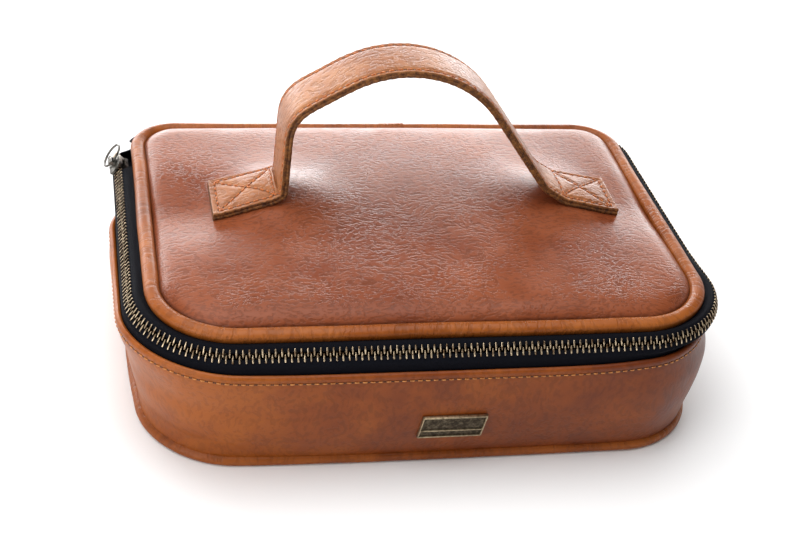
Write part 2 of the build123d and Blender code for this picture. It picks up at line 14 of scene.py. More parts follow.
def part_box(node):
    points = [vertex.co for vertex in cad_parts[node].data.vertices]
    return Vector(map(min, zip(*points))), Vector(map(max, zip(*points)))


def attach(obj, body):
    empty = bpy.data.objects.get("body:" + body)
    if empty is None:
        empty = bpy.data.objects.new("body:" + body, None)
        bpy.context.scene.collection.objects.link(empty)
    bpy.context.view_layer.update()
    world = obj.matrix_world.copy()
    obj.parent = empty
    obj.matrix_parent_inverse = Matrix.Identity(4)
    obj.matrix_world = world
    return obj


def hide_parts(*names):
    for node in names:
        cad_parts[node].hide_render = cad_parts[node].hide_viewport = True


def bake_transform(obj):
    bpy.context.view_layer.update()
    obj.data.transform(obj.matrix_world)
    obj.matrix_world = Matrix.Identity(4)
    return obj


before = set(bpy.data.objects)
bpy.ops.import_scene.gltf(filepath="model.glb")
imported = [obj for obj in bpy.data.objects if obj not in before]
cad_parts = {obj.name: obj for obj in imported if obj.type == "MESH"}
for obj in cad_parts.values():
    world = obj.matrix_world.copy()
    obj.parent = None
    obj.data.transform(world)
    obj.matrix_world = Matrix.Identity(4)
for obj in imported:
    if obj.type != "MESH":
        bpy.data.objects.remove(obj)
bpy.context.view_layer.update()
MM = 0.001
print("nodes in the frame:", len(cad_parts))

# %% [markdown]
# ## Camera and light
# A long lens from above the front left corner keeps the case's sides nearly parallel. The camera is
# rolled a little, as a hand-held one is, so its axes are built from directions and not from angles
# of the object.

# %% Camera
YAW, PITCH, ROLL = radians(15.07), radians(33.44), radians(7.40)
CAMERA_PLACE = Vector((-0.1452, -0.5336, 0.4009))
LENS_LENGTH = 67.5
ahead = Vector((sin(YAW) * cos(PITCH), cos(YAW) * cos(PITCH), -sin(PITCH)))
level = Vector((cos(YAW), -sin(YAW), 0))
above = level.cross(ahead)
camera_x = cos(ROLL) * level + sin(ROLL) * above
camera_y = cos(ROLL) * above - sin(ROLL) * level
camera_data = bpy.data.cameras.new("camera")
camera_data.lens = LENS_LENGTH
camera = bpy.data.objects.new("camera", camera_data)
turn = Matrix((camera_x, camera_y, -ahead)).transposed()
camera.matrix_world = Matrix.Translation(CAMERA_PLACE) @ turn.to_4x4()
bpy.context.scene.collection.objects.link(camera)
bpy.context.scene.camera = camera
bpy.context.scene.view_settings.view_transform = "Standard"
print("camera at", tuple(round(value, 3) for value in camera.location))

# %% [markdown]
# Leather shows its form through broad, soft reflections, so the lamps are large panels. The widest
# stands on the floor behind the case. It is low, so only the back of the lid mirrors it, as a pale
# sheen. A square one overhead lights the lid and the strap, and a small one at the front left lifts
# the walls. The world fills the rest.

# %% Colours and lamps
def linear(code):
    """A colour written as sRGB hex, as the linear values that shaders take."""
    channels = [int(code[start:start + 2], 16) / 255 for start in (1, 3, 5)]
    return [c / 12.92 if c <= 0.04045 else ((c + 0.055) / 1.055) ** 2.4 for c in channels] + [1.0]


def lamp(name, place, target, width, height, watts):
    data = bpy.data.lights.new(name, "AREA")
    data.shape = "RECTANGLE"
    data.size, data.size_y, data.energy = width, height, watts
    panel = bpy.data.objects.new(name, data)
    panel.location = place
    panel.rotation_euler = (Vector(target) - Vector(place)).to_track_quat("-Z", "Y").to_euler()
    bpy.context.scene.collection.objects.link(panel)


lamp("back panel", (0.0, 1.25, 0.28), (0, 0, 0.28), 2.2, 0.52, 28)
lamp("top panel", (-0.2, 0.05, 1.35), (0, 0, 0.05), 1.4, 1.4, 19)
lamp("left panel", (-0.55, -0.42, 0.30), (-0.08, -0.06, 0.03), 0.45, 0.4, 1.7)

# %% [markdown]
# The studio round the case is pure white to the lens. As light it is a soft grey, brighter from the
# left and the back. In reflections it is white at the horizon, like the floor, and falls to a dark
# ceiling overhead, which keeps the leather's colour deep. Light Path tells the three uses apart.

# %% World
def set_inputs(tree, node, inputs):
    """Fill the inputs of a node with values or links."""
    for name, value in inputs.items():
        if isinstance(value, bpy.types.NodeSocket):
            tree.links.new(value, node.inputs[name])
        else:
            node.inputs[name].default_value = value


def node_in(tree, kind, inputs=None, **settings):
    """Add a node, set its properties, then fill its inputs with values or links."""
    made = tree.nodes.new(kind)
    for name, value in settings.items():
        setattr(made, name, value)
    set_inputs(tree, made, inputs or {})
    return made


FILL_LIGHT = 0.40
SIDE_BIAS = 0.24
LIT_FROM = (-0.7, 0.7, 0.0)
HORIZON_TOP, CEILING_FOOT = 0.12, 0.44
CEILING_LIGHT = 0.05
world = bpy.data.worlds.new("studio")
world.use_nodes = True
sky = world.node_tree
sky.nodes.clear()
ray = node_in(sky, "ShaderNodeLightPath")
way = node_in(sky, "ShaderNodeTexCoord").outputs["Generated"]
upward = node_in(sky, "ShaderNodeSeparateXYZ", {0: way})
lit_side = node_in(sky, "ShaderNodeVectorMath", {0: way, 1: LIT_FROM}, operation="DOT_PRODUCT")
fill = node_in(sky, "ShaderNodeMapRange", {
    "Value": lit_side.outputs["Value"], "From Min": -1.0, "From Max": 1.0,
    "To Min": FILL_LIGHT - SIDE_BIAS, "To Max": FILL_LIGHT + SIDE_BIAS})
mirrored = node_in(sky, "ShaderNodeMapRange", {
    "Value": upward.outputs[2], "From Min": HORIZON_TOP, "From Max": CEILING_FOOT,
    "To Min": 1.0, "To Max": CEILING_LIGHT})
to_mirror = node_in(sky, "ShaderNodeMix", {
    0: ray.outputs["Is Glossy Ray"], 2: fill.outputs[0], 3: mirrored.outputs[0]})
straight_on = node_in(sky, "ShaderNodeMath", {
    0: ray.outputs["Is Camera Ray"], 1: ray.outputs["Is Transmission Ray"]},
    operation="ADD", use_clamp=True)
strength = node_in(sky, "ShaderNodeMix", {
    0: straight_on.outputs[0], 2: to_mirror.outputs[0], 3: 1.0})
white = node_in(sky, "ShaderNodeBackground", {
    "Color": (1, 1, 1, 1), "Strength": strength.outputs[0]})
node_in(sky, "ShaderNodeOutputWorld", {"Surface": white.outputs[0]})
bpy.context.scene.world = world
print("world fills with", FILL_LIGHT, "give or take", SIDE_BIAS)

# %% [markdown]
# The case stands on a sweep of matt white paper. One square that runs out of sight is enough, and
# it keeps the case's soft shadow.

# %% Floor
FLOOR_REACH = 12.0
PAPER_WHITE = (0.92, 0.92, 0.92, 1)
floor_mesh = bpy.data.meshes.new("floor")
floor_mesh.from_pydata([(x * FLOOR_REACH, y * FLOOR_REACH, 0)
                        for x, y in ((-1, -1), (1, -1), (1, 1), (-1, 1))], [], [(0, 1, 2, 3)])
floor_piece = bpy.data.objects.new("floor", floor_mesh)
bpy.context.scene.collection.objects.link(floor_piece)
paper = bpy.data.materials.new("white paper sweep")
paper.use_nodes = True
set_inputs(paper.node_tree, paper.node_tree.nodes["Principled BSDF"], {
    "Base Color": PAPER_WHITE, "Roughness": 0.9, "Specular IOR Level": 0.1})
floor_mesh.materials.append(paper)
print("floor reaches", FLOOR_REACH, "m each way")

# %% [markdown]
# ## Leather
# The case is waxed, full-grain vegetable-tanned leather, the kind that pales where it is pulled and
# darkens where it is pressed. Three things make it read as leather: broad blotches of colour, fine
# pebbled grain, and shallow creases that run in one direction where the hide has been bent. Each is
# a pattern with a real size in millimetres. The wax gives a soft, wide shine with an index of about
# 1.5, rougher where the grain is open.

# %% A material to start from
def started(name):
    """A new material with only a Principled shader: the material, its tree and the shader."""
    material = bpy.data.materials.new(name)
    material.use_nodes = True
    tree = material.node_tree
    tree.nodes.clear()
    shader = node_in(tree, "ShaderNodeBsdfPrincipled")
    node_in(tree, "ShaderNodeOutputMaterial", {"Surface": shader.outputs[0]})
    return material, tree, shader


def per_metre(size):
    """The scale that gives a pattern one feature in each size, where its input is in metres."""
    return 1 / size


print("one millimetre of grain is a scale of", round(per_metre(1 * MM)))

# %% [markdown]
# Dye and wax take unevenly on a hide. Blotches 60 mm wide carry clouds of 14 mm, and together they
# pick a tone between deep and pale. On the walls a painted shade is added across the case: paler at
# the left, where the light comes from, and darker at the right. The clouds are handed on, because
# the wax lies thicker in some of them.

# %% Colour of a hide
BLOTCH, CLOUD = 60 * MM, 14 * MM
CLOUD_SHARE = 0.38
# how far left and right the painted side shade reaches its full strength
SIDE_SHADE_ENDS = 0.12
DEEP_AT, PALE_AT = 0.34, 0.68


def hide_colour(tree, where, deep, middle, pale, painted_side_shade):
    """The colour of the dyed face with a painted side shade, and the clouds in it."""
    blotch = node_in(tree, "ShaderNodeTexNoise", {
        "Vector": where, "Scale": per_metre(BLOTCH), "Detail": 4.0, "Roughness": 0.55,
        "Distortion": 0.4})
    cloud = node_in(tree, "ShaderNodeTexNoise", {
        "Vector": where, "Scale": per_metre(CLOUD), "Detail": 5.0, "Roughness": 0.6})
    tone = node_in(tree, "ShaderNodeMix", {
        0: CLOUD_SHARE, 2: blotch.outputs[0], 3: cloud.outputs[0]})
    across = node_in(tree, "ShaderNodeSeparateXYZ", {0: where})
    # painted shade across the case: the tone is raised at the left and lowered at the right, for
    # light from the left
    lean = node_in(tree, "ShaderNodeMapRange", {
        "Value": across.outputs[0], "From Min": -SIDE_SHADE_ENDS, "From Max": SIDE_SHADE_ENDS,
        "To Min": painted_side_shade, "To Max": -painted_side_shade})
    tone_with_side_shade = node_in(tree, "ShaderNodeMath", {0: tone.outputs[0], 1: lean.outputs[0]},
                      operation="ADD")
    ramp = node_in(tree, "ShaderNodeValToRGB", {"Fac": tone_with_side_shade.outputs[0]})
    ends = ramp.color_ramp.elements
    ends[0].position, ends[1].position = DEEP_AT, PALE_AT
    ends[0].color, ends[1].color = linear(deep), linear(pale)
    ends.new(0.5).color = linear(middle)
    return ramp.outputs[0], cloud.outputs[0]


print("blotches", round(BLOTCH / MM), "mm wide, clouds", round(CLOUD / MM))

# %% [markdown]
# A hide creases across the direction in which it bends, so the pattern is drawn out along one axis
# of the piece: along the case on the lid, upright on the walls, round the piping's roll and along
# the strap. The top of a noise is cut off flat. That leaves broad ridges with narrow valleys
# between them, and the valleys are the creases. Some patches of the hide are creased and others are
# nearly smooth, and pebbled grain lies over all of it.

# %% Creases and grain of a hide
WANDER_SIZE, WANDER = 24 * MM, 12 * MM
VALLEY, RIDGE = 0.40, 0.53
PATCH_SIZE, PATCH_SOFT = 38 * MM, 0.14
SMOOTH_SHARE = 0.30
GRAIN, GRAIN_SHARE = 0.9 * MM, 0.25


def hide_relief(tree, where, lie, drawn_out, crease_size, patch):
    """The ridges between the creases, and the whole relief of ridges and grain."""
    wander = node_in(tree, "ShaderNodeTexNoise", {
        "Vector": lie, "Scale": per_metre(WANDER_SIZE), "Detail": 1.0})
    pushed = node_in(tree, "ShaderNodeVectorMath", {
        0: wander.outputs["Color"], 1: (WANDER, WANDER, WANDER), 2: lie},
        operation="MULTIPLY_ADD")
    drawn = node_in(tree, "ShaderNodeMapping", {"Vector": pushed.outputs[0], "Scale": drawn_out})
    lines = node_in(tree, "ShaderNodeTexNoise", {
        "Vector": drawn.outputs[0], "Scale": per_metre(2.0 * crease_size), "Detail": 3.0,
        "Roughness": 0.5})
    ridge = node_in(tree, "ShaderNodeMapRange", {
        "Value": lines.outputs[0], "From Min": VALLEY, "From Max": RIDGE},
        interpolation_type="SMOOTHSTEP")
    spread = node_in(tree, "ShaderNodeTexNoise", {
        "Vector": where, "Scale": per_metre(PATCH_SIZE), "Detail": 2.0})
    creased = node_in(tree, "ShaderNodeMapRange", {
        "Value": spread.outputs[0], "From Min": patch - PATCH_SOFT,
        "From Max": patch + PATCH_SOFT, "To Min": SMOOTH_SHARE, "To Max": 1.0})
    fold = node_in(tree, "ShaderNodeMath", {0: ridge.outputs[0], 1: creased.outputs[0]},
                   operation="MULTIPLY")
    grain = node_in(tree, "ShaderNodeTexVoronoi", {"Vector": lie, "Scale": per_metre(GRAIN)},
                    feature="SMOOTH_F1")
    height = node_in(tree, "ShaderNodeMath", {
        0: grain.outputs["Distance"], 1: GRAIN_SHARE, 2: fold.outputs[0]},
        operation="MULTIPLY_ADD")
    return ridge.outputs[0], height.outputs[0]


print("grain", round(GRAIN / MM, 1), "mm, creased patches", round(PATCH_SIZE / MM), "mm wide")

# %% [markdown]
# All the leathers share one recipe: the dyed face, with painted shade that darkens the creases,
# over a shine that follows the clouds. The lid's leather also gets painted shade where it dives
# into the piped seam, and its UV map gives the distance from that edge. The walls are deeper and
# redder than the piping, and the strap is paler from handling.

# %% Waxed full-grain leather
LEATHER_IOR = 1.5
WAX_SPECULAR = 0.27
# painted shade along the lid's seam: full at SEAM_DARK from the edge, gone at SEAM_CLEAR
SEAM_DARK, SEAM_CLEAR, SEAM_SHADE = 1.8 * MM, 5.0 * MM, 0.18


def waxed_leather(name, deep, middle, pale, drawn_out, crease_size, crease_depth, shine,
                  patch=0.5, by_uv=False, painted_side_shade=0.0, seam=False, crease_shade=0.86):
    """Full-grain leather. patch is the share left smooth; the last argument is the light left in a
    crease, as painted shade. The side shade is painted too: paler at the left, darker at the right.
    """
    material, tree, shader = started(name)
    where = node_in(tree, "ShaderNodeTexCoord").outputs["Object"]
    lie = node_in(tree, "ShaderNodeUVMap").outputs[0] if by_uv else where
    dyed, cloud = hide_colour(tree, where, deep, middle, pale, painted_side_shade)
    ridge, height = hide_relief(tree, where, lie, drawn_out, crease_size, patch)
    # painted shade: the dyed colour is darkened in the crease valleys
    shade = node_in(tree, "ShaderNodeMapRange", {"Value": ridge, "To Min": crease_shade, "To Max": 1.03})
    # painted shade: on the lid the colour darkens towards the piped seam, down to SEAM_SHADE
    if seam:
        run = node_in(tree, "ShaderNodeSeparateXYZ", {
            0: node_in(tree, "ShaderNodeUVMap").outputs[0]})
        painted_seam_shade = node_in(tree, "ShaderNodeMapRange", {
            "Value": run.outputs[1], "From Min": SEAM_DARK, "From Max": SEAM_CLEAR,
            "To Min": SEAM_SHADE, "To Max": 1.0}, interpolation_type="SMOOTHSTEP")
        shade = node_in(tree, "ShaderNodeMath", {0: shade.outputs[0], 1: painted_seam_shade.outputs[0]},
                        operation="MULTIPLY")
    colour = node_in(tree, "ShaderNodeVectorMath", {0: dyed, "Scale": shade.outputs[0]},
                     operation="SCALE")
    rough = node_in(tree, "ShaderNodeMapRange", {
        "Value": cloud, "From Min": 0.35, "From Max": 0.65,
        "To Min": shine - 0.04, "To Max": shine + 0.07})
    bump = node_in(tree, "ShaderNodeBump", {
        "Height": height, "Distance": crease_depth, "Strength": 1.0})
    set_inputs(tree, shader, {
        "Base Color": colour.outputs[0], "Roughness": rough.outputs[0],
        "Normal": bump.outputs[0], "IOR": LEATHER_IOR, "Specular IOR Level": WAX_SPECULAR})
    return material


LID_LEATHER = waxed_leather(
    "waxed cognac leather of the lid", "#783A21", "#854426", "#955030",
    (0.5, 1.0, 1.0), 0.62 * MM, 0.10 * MM, 0.34, seam=True, crease_shade=0.80)
WALL_LEATHER = waxed_leather(
    "waxed cognac leather of the walls", "#662B0B", "#803C0D", "#9A5117",
    (1.0, 1.0, 0.6), 0.9 * MM, 0.08 * MM, 0.40, patch=0.58, painted_side_shade=0.17)
PIPING_LEATHER = waxed_leather(
    "thin tan leather of the piping", "#753710", "#914B17", "#A96027",
    (1.0, 0.25, 1.0), 0.9 * MM, 0.14 * MM, 0.38, patch=0.45, by_uv=True)
STRAP_LEATHER = waxed_leather(
    "bridle leather of the strap", "#7E4626", "#9C6038", "#B77C4E",
    (0.5, 1.0, 1.0), 0.8 * MM, 0.20 * MM, 0.39, patch=0.4, by_uv=True)
BOTTOM_CLOTH = waxed_leather(
    "leather-grain cloth of the bottom", "#5E301A", "#713C20", "#80482A",
    (1.0, 1.0, 1.0), 1.8 * MM, 0.08 * MM, 0.55)
print("leathers:", [m.name for m in bpy.data.materials if "leather" in m.name])

# %% [markdown]
# ## Cut edges, thread and needle holes
# Three small finishes share one recipe of flecks. Where leather is cut, its matt fibres show,
# stained dark and rubbed with wax, with flecks of 1.6 mm. The thread is twisted polyester: its
# plies are 0.35 mm apart, and flecks of 0.7 mm stand for them so that they show at all. Round a
# needle hole the leather is pressed and darker, and the near-black colour is also painted shade for
# the hole itself.

# %% Flecked finishes
def flecked(name, colours, size, roughness, ends=(0.0, 1.0), detail=2.0, uneven=0.5, relief=0.0,
            strength=1.0):
    """Stuff with flecks of a size, from its darkest colour to its lightest, raised by relief."""
    material, tree, shader = started(name)
    where = node_in(tree, "ShaderNodeTexCoord").outputs["Object"]
    fleck = node_in(tree, "ShaderNodeTexNoise", {
        "Vector": where, "Scale": per_metre(size), "Detail": detail, "Roughness": uneven})
    ramp = node_in(tree, "ShaderNodeValToRGB", {"Fac": fleck.outputs[0]})
    tones = ramp.color_ramp.elements
    tones[0].position, tones[1].position = ends
    tones[0].color, tones[1].color = linear(colours[0]), linear(colours[-1])
    if len(colours) == 3:
        tones.new(0.5).color = linear(colours[1])
    set_inputs(tree, shader, {"Base Color": ramp.outputs[0], "Roughness": roughness})
    if relief:
        bump = node_in(tree, "ShaderNodeBump", {
            "Height": fleck.outputs[0], "Distance": relief, "Strength": strength})
        set_inputs(tree, shader, {"Normal": bump.outputs[0]})
    return material


CUT_EDGE = flecked("cut edge of tan leather", ("#3E2210", "#6E4119", "#9A642C"), 1.6 * MM, 0.72,
                   (0.36, 0.64), detail=6.0, uneven=0.7, relief=0.5 * MM, strength=0.9)
STRAP_THREAD = flecked("waxed thread of the strap", ("#9A4A1C", "#D0762E"), 0.7 * MM, 0.5,
                       (0.38, 0.62), relief=0.1 * MM)
RIM_THREAD = flecked("waxed thread of the rim", ("#A8622A", "#CF8A45"), 0.7 * MM, 0.5,
                     (0.38, 0.62), relief=0.1 * MM)
NEEDLE_HOLE_SHADE = flecked("pressed leather and painted shade of a needle hole", ("#2C140A", "#54301A"), 0.5 * MM, 0.8)
print("cut edge, thread and needle holes made")

# %% [markdown]
# ## Tape, metal and lining
# Zip tape is polyester woven as a fine herringbone, dyed navy black. It scatters light, with a
# faint sheen on its raised yarns. The true yarns are 0.3 mm apart; they are drawn at 0.7 mm so that
# the weave shows. Its UV map is in metres, so the ribs follow the tape round the corners.

# %% Woven zip tape
RIB, ZIGZAG = 0.7 * MM, 1.4 * MM


def woven_tape():
    """Navy-black polyester herringbone: a sine across lines that turn at every zigzag."""
    material, tree, shader = started("woven navy polyester tape")
    lie = node_in(tree, "ShaderNodeUVMap").outputs[0]
    where = node_in(tree, "ShaderNodeTexCoord").outputs["Object"]
    parts = node_in(tree, "ShaderNodeSeparateXYZ", {0: lie})
    zigzag = node_in(tree, "ShaderNodeMath", {0: parts.outputs[1], 1: ZIGZAG},
                     operation="PINGPONG")
    slanted = node_in(tree, "ShaderNodeMath", {0: parts.outputs[0], 1: zigzag.outputs[0]},
                      operation="ADD")
    turns = node_in(tree, "ShaderNodeMath", {0: slanted.outputs[0], 1: 2 * pi * per_metre(RIB)},
                    operation="MULTIPLY")
    rib = node_in(tree, "ShaderNodeMath", {0: turns.outputs[0]}, operation="SINE")
    fuzz = node_in(tree, "ShaderNodeTexNoise", {
        "Vector": where, "Scale": per_metre(0.5 * MM), "Detail": 3.0})
    height = node_in(tree, "ShaderNodeMath", {0: rib.outputs[0], 1: 0.5, 2: fuzz.outputs[0]},
                     operation="MULTIPLY_ADD")
    ramp = node_in(tree, "ShaderNodeValToRGB", {"Fac": height.outputs[0]})
    tones = ramp.color_ramp.elements
    tones[0].color, tones[1].color = linear("#030305"), linear("#0D0F1A")
    bump = node_in(tree, "ShaderNodeBump", {
        "Height": height.outputs[0], "Distance": 0.09 * MM, "Strength": 1.0})
    set_inputs(tree, shader, {
        "Base Color": ramp.outputs[0], "Normal": bump.outputs[0], "Roughness": 0.85,
        "Specular IOR Level": 0.12})
    return material


ZIP_TAPE = woven_tape()
print("tape ribs", round(RIB / MM, 1), "mm apart")

# %% [markdown]
# The zip's teeth are brass, blackened in a bath and then tumbled, which rubs their faces bright and
# leaves the black film on the flanks between them. The slider and the ring are nickelled steel,
# worn grey. The name plate is a bronze in two finishes, a rubbed rim and a blackened field. All are
# metallic shaders: their colour is the colour of their reflection.

# %% Worn metals
WORN_PATCH, WORN_SOFT = 1.5 * MM, 0.12
FILM_ROUGHER = 0.18


def antique_metal(name, film, rubbed, share, roughness):
    """Tumbled metal: a film in patches over a rubbed bright surface. share is the film's part."""
    material, tree, shader = started(name)
    where = node_in(tree, "ShaderNodeTexCoord").outputs["Object"]
    worn = node_in(tree, "ShaderNodeTexNoise", {
        "Vector": where, "Scale": per_metre(WORN_PATCH), "Detail": 5.0, "Roughness": 0.65})
    bright = node_in(tree, "ShaderNodeMapRange", {
        "Value": worn.outputs[0], "From Min": share - WORN_SOFT, "From Max": share + WORN_SOFT})
    colour = node_in(tree, "ShaderNodeMix", {
        0: bright.outputs[0], 6: linear(film), 7: linear(rubbed)}, data_type="RGBA")
    rough = node_in(tree, "ShaderNodeMapRange", {
        "Value": bright.outputs[0], "To Min": roughness + FILM_ROUGHER, "To Max": roughness})
    bump = node_in(tree, "ShaderNodeBump", {
        "Height": worn.outputs[0], "Distance": 0.03 * MM, "Strength": 0.6})
    set_inputs(tree, shader, {
        "Base Color": colour.outputs[2], "Roughness": rough.outputs[0],
        "Normal": bump.outputs[0], "Metallic": 1.0})
    return material


ZIP_BRASS = antique_metal("antique brass of the zip", "#6A5038", "#E8D2B0", 0.50, 0.26)
STEEL_WIRE = antique_metal("nickelled steel of slider and ring", "#35322F", "#85817A", 0.50, 0.34)
TOOTH_FILM = antique_metal("blackened brass between the teeth", "#17120D", "#4A3C2A", 0.56, 0.45)
PLATE_RIM = antique_metal("rubbed bronze of the plate's rim", "#7C6B55", "#B8A88A", 0.44, 0.34)
PLATE_FIELD = antique_metal("blackened bronze of the plate's field", "#3F372D", "#6C6150", 0.56,
                            0.46)
print("metals made")

# %% [markdown]
# The tray and the lid are lined with a short-napped suede cloth. Nap scatters light forwards, which
# the shader's sheen gives, and it lies in brushed patches about 12 mm wide. The boards between are
# grey pulp board, and the lid's filling is white foam. They are as matt as the cloth, so the same
# recipe makes them with a coarser nap.

# %% Suede cloth, board and foam
BRUSHED = 12 * MM


def napped_cloth(name, dark, light, nap=0.35 * MM):
    """Short-napped suede cloth with brushed patches."""
    material, tree, shader = started(name)
    where = node_in(tree, "ShaderNodeTexCoord").outputs["Object"]
    patch = node_in(tree, "ShaderNodeTexNoise", {
        "Vector": where, "Scale": per_metre(BRUSHED), "Detail": 4.0})
    fibre = node_in(tree, "ShaderNodeTexNoise", {
        "Vector": where, "Scale": per_metre(nap), "Detail": 3.0})
    tone = node_in(tree, "ShaderNodeMix", {0: 0.4, 2: patch.outputs[0], 3: fibre.outputs[0]})
    ramp = node_in(tree, "ShaderNodeValToRGB", {"Fac": tone.outputs[0]})
    tones = ramp.color_ramp.elements
    tones[0].position, tones[1].position = 0.36, 0.64
    tones[0].color, tones[1].color = linear(dark), linear(light)
    bump = node_in(tree, "ShaderNodeBump", {
        "Height": fibre.outputs[0], "Distance": 0.12 * MM, "Strength": 0.7})
    set_inputs(tree, shader, {
        "Base Color": ramp.outputs[0], "Normal": bump.outputs[0], "Roughness": 0.9,
        "Sheen Weight": 0.35, "Sheen Roughness": 0.4})
    return material


SUEDE = napped_cloth("short-napped suede cloth", "#B59A78", "#CDB592")
ELASTIC = napped_cloth("woven elastic binding", "#8C7355", "#A58C6B", 0.6 * MM)
PULP_BOARD = napped_cloth("grey pulp board", "#8D8A82", "#A3A097", 0.8 * MM)
FOAM = napped_cloth("white polyether foam", "#E4E0D2", "#F0ECE0", 0.9 * MM)
print("materials so far:", len(bpy.data.materials))

# %% [markdown]
# ## The plan outline
# Every part that goes round the case follows one closed line, the centre of the lid piping. A place
# on it is given by a length along the line, which starts at the middle of the back and runs
# anticlockwise. A section is drawn as points of distance outwards and height, and swept along it.

# %% Walking round the case
PIPING_R = 3.2 * MM
FRONT_CORNER_R = 32.0 * MM
BACK_CORNER_R = 18.0 * MM
piping_low, piping_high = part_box("lid_piping")
HALF_WIDTH = (piping_high[0] - piping_low[0]) / 2 - PIPING_R
HALF_DEPTH = (piping_high[1] - piping_low[1]) / 2 - PIPING_R
FRONT_X, FRONT_Y = HALF_WIDTH - FRONT_CORNER_R, HALF_DEPTH - FRONT_CORNER_R
BACK_X, BACK_Y = HALF_WIDTH - BACK_CORNER_R, HALF_DEPTH - BACK_CORNER_R
LEGS = [
    ("side", (0, HALF_DEPTH), 90, BACK_X),
    ("corner", (-BACK_X, BACK_Y), 90, BACK_CORNER_R),
    ("side", (-HALF_WIDTH, BACK_Y), 180, BACK_Y + FRONT_Y),
    ("corner", (-FRONT_X, -FRONT_Y), 180, FRONT_CORNER_R),
    ("side", (-FRONT_X, -HALF_DEPTH), 270, 2 * FRONT_X),
    ("corner", (FRONT_X, -FRONT_Y), 270, FRONT_CORNER_R),
    ("side", (HALF_WIDTH, -FRONT_Y), 0, BACK_Y + FRONT_Y),
    ("corner", (BACK_X, BACK_Y), 0, BACK_CORNER_R),
    ("side", (BACK_X, HALF_DEPTH), 90, BACK_X),
]


def leg_lengths(outward=0.0):
    """The lengths of the legs on the outline moved outwards."""
    return [size if kind == "side" else (size + outward) * pi / 2 for kind, _, _, size in LEGS]


def stand(along, outward=0.0):
    """Point of the outline at a length along the outline moved outwards, and the way outwards."""
    along %= sum(leg_lengths(outward))
    for (kind, (x, y), angle, size), length in zip(LEGS, leg_lengths(outward)):
        if along <= length:
            break
        along -= length
    if kind == "side":
        out = Vector((cos(radians(angle)), sin(radians(angle)), 0))
        return Vector((x, y, 0)) + Vector((-out.y, out.x, 0)) * along, out
    turned = radians(angle) + along / (size + outward)
    out = Vector((cos(turned), sin(turned), 0))
    return Vector((x, y, 0)) + out * size, out


ROUND = sum(leg_lengths())
LEFT_BACK_CORNER = leg_lengths()[0]
RIGHT_BACK_CORNER = ROUND - LEFT_BACK_CORNER
print("outline is", round(ROUND / MM), "mm round")

# %% [markdown]
# One helper lays a grid of points as a smooth skin. Its UV map is in metres of real surface: u runs
# along the sweep and v across it, so a weave or a row of stitches has its true size in a material.

# %% Skins from grids of points
def new_piece(name, mesh, body, slot, *materials):
    """A named piece with its materials, on the body that it moves with."""
    piece = bpy.data.objects.new(name, mesh)
    for material in materials:
        mesh.materials.append(material)
    bpy.context.scene.collection.objects.link(piece)
    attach(piece, body)
    return piece


def smoothed(mesh):
    """The mesh, shaded smooth all over."""
    mesh.polygons.foreach_set("use_smooth", [True] * len(mesh.polygons))
    return mesh


def grid_mesh(name, rows, across_closed=False, along_closed=False, first_u=0.0):
    """Mesh through rows of points, with a UV map in metres."""
    count, width = len(rows), len(rows[0])
    points = [p for row in rows for p in row]
    u = [first_u]
    for before, after in zip(rows, rows[1:] + rows[:1]):
        middle = width // 2
        u.append(u[-1] + (Vector(after[middle]) - Vector(before[middle])).length)
    v = [0.0]
    for before, after in zip(rows[0], rows[0][1:] + rows[0][:1]):
        v.append(v[-1] + (Vector(after) - Vector(before)).length)
    faces, spots = [], []
    for i in range(count if along_closed else count - 1):
        for j in range(width if across_closed else width - 1):
            k, m = (i + 1) % count, (j + 1) % width
            faces.append((i * width + j, k * width + j, k * width + m, i * width + m))
            spots += [(u[i], v[j]), (u[i + 1], v[j]), (u[i + 1], v[j + 1]), (u[i], v[j + 1])]
    mesh = bpy.data.meshes.new(name)
    mesh.from_pydata([tuple(p) for p in points], [], faces)
    layer = mesh.uv_layers.new(name="UVMap")
    for loop, spot in zip(layer.data, spots):
        loop.uv = spot
    return smoothed(mesh)


print("skins can be laid")

# %% [markdown]
# A skin that bounds a solid needs its ends closed. A mesh is opened as a bmesh for that, changed,
# and written back with all its faces turned outwards.

# %% Closing a skin
def reworked(mesh, change):
    """Open a mesh, change it, turn its faces outwards and write it back."""
    shape = bmesh.new()
    shape.from_mesh(mesh)
    shape.verts.ensure_lookup_table()
    change(shape)
    bmesh.ops.recalc_face_normals(shape, faces=shape.faces[:])
    shape.to_mesh(mesh)
    shape.free()


def foot_and_top(width):
    """The change that closes a ring of rows at the first and the last point of every row."""
    def close(shape):
        starts = range(0, len(shape.verts), width)
        shape.faces.new([shape.verts[start] for start in starts][::-1])
        shape.faces.new([shape.verts[start + width - 1] for start in starts])
    return close


print("skins can be closed")

# %% [markdown]
# ## How the case has settled
# The working model is the case as it is cut and sewn. A real one has been carried about: its rim is
# drawn in at the left, where the zip ends, a hollow has sunk into the front right corner, and the
# foot is pushed in at the front left. The front edge has risen a little as well. All of it is one
# formula on places, so every part of the wall moves together and nothing comes apart.

# %% Soft steps and places
def eased(value):
    """0 below 0, 1 above 1 and smooth between."""
    value = max(0.0, min(1.0, value))
    return value * value * (3 - 2 * value)


def beside(point, x, y, reach):
    """1 at a place of the plan in mm, falling softly to 0 about twice the reach away."""
    return exp(-((point.x - x * MM) ** 2 + (point.y - y * MM) ** 2) / (reach * MM) ** 2)


def tight_end(point):
    """1 at the left end of the rim, where it is drawn in, 0 along the rest."""
    if point.x > 0 or point.y < 0:
        return 0.0
    turned = atan2(max(0.0, point.y - BACK_Y), -BACK_X - point.x)
    return eased((point.y - 16 * MM) / (30 * MM)) * eased((radians(38) - turned) / radians(24))


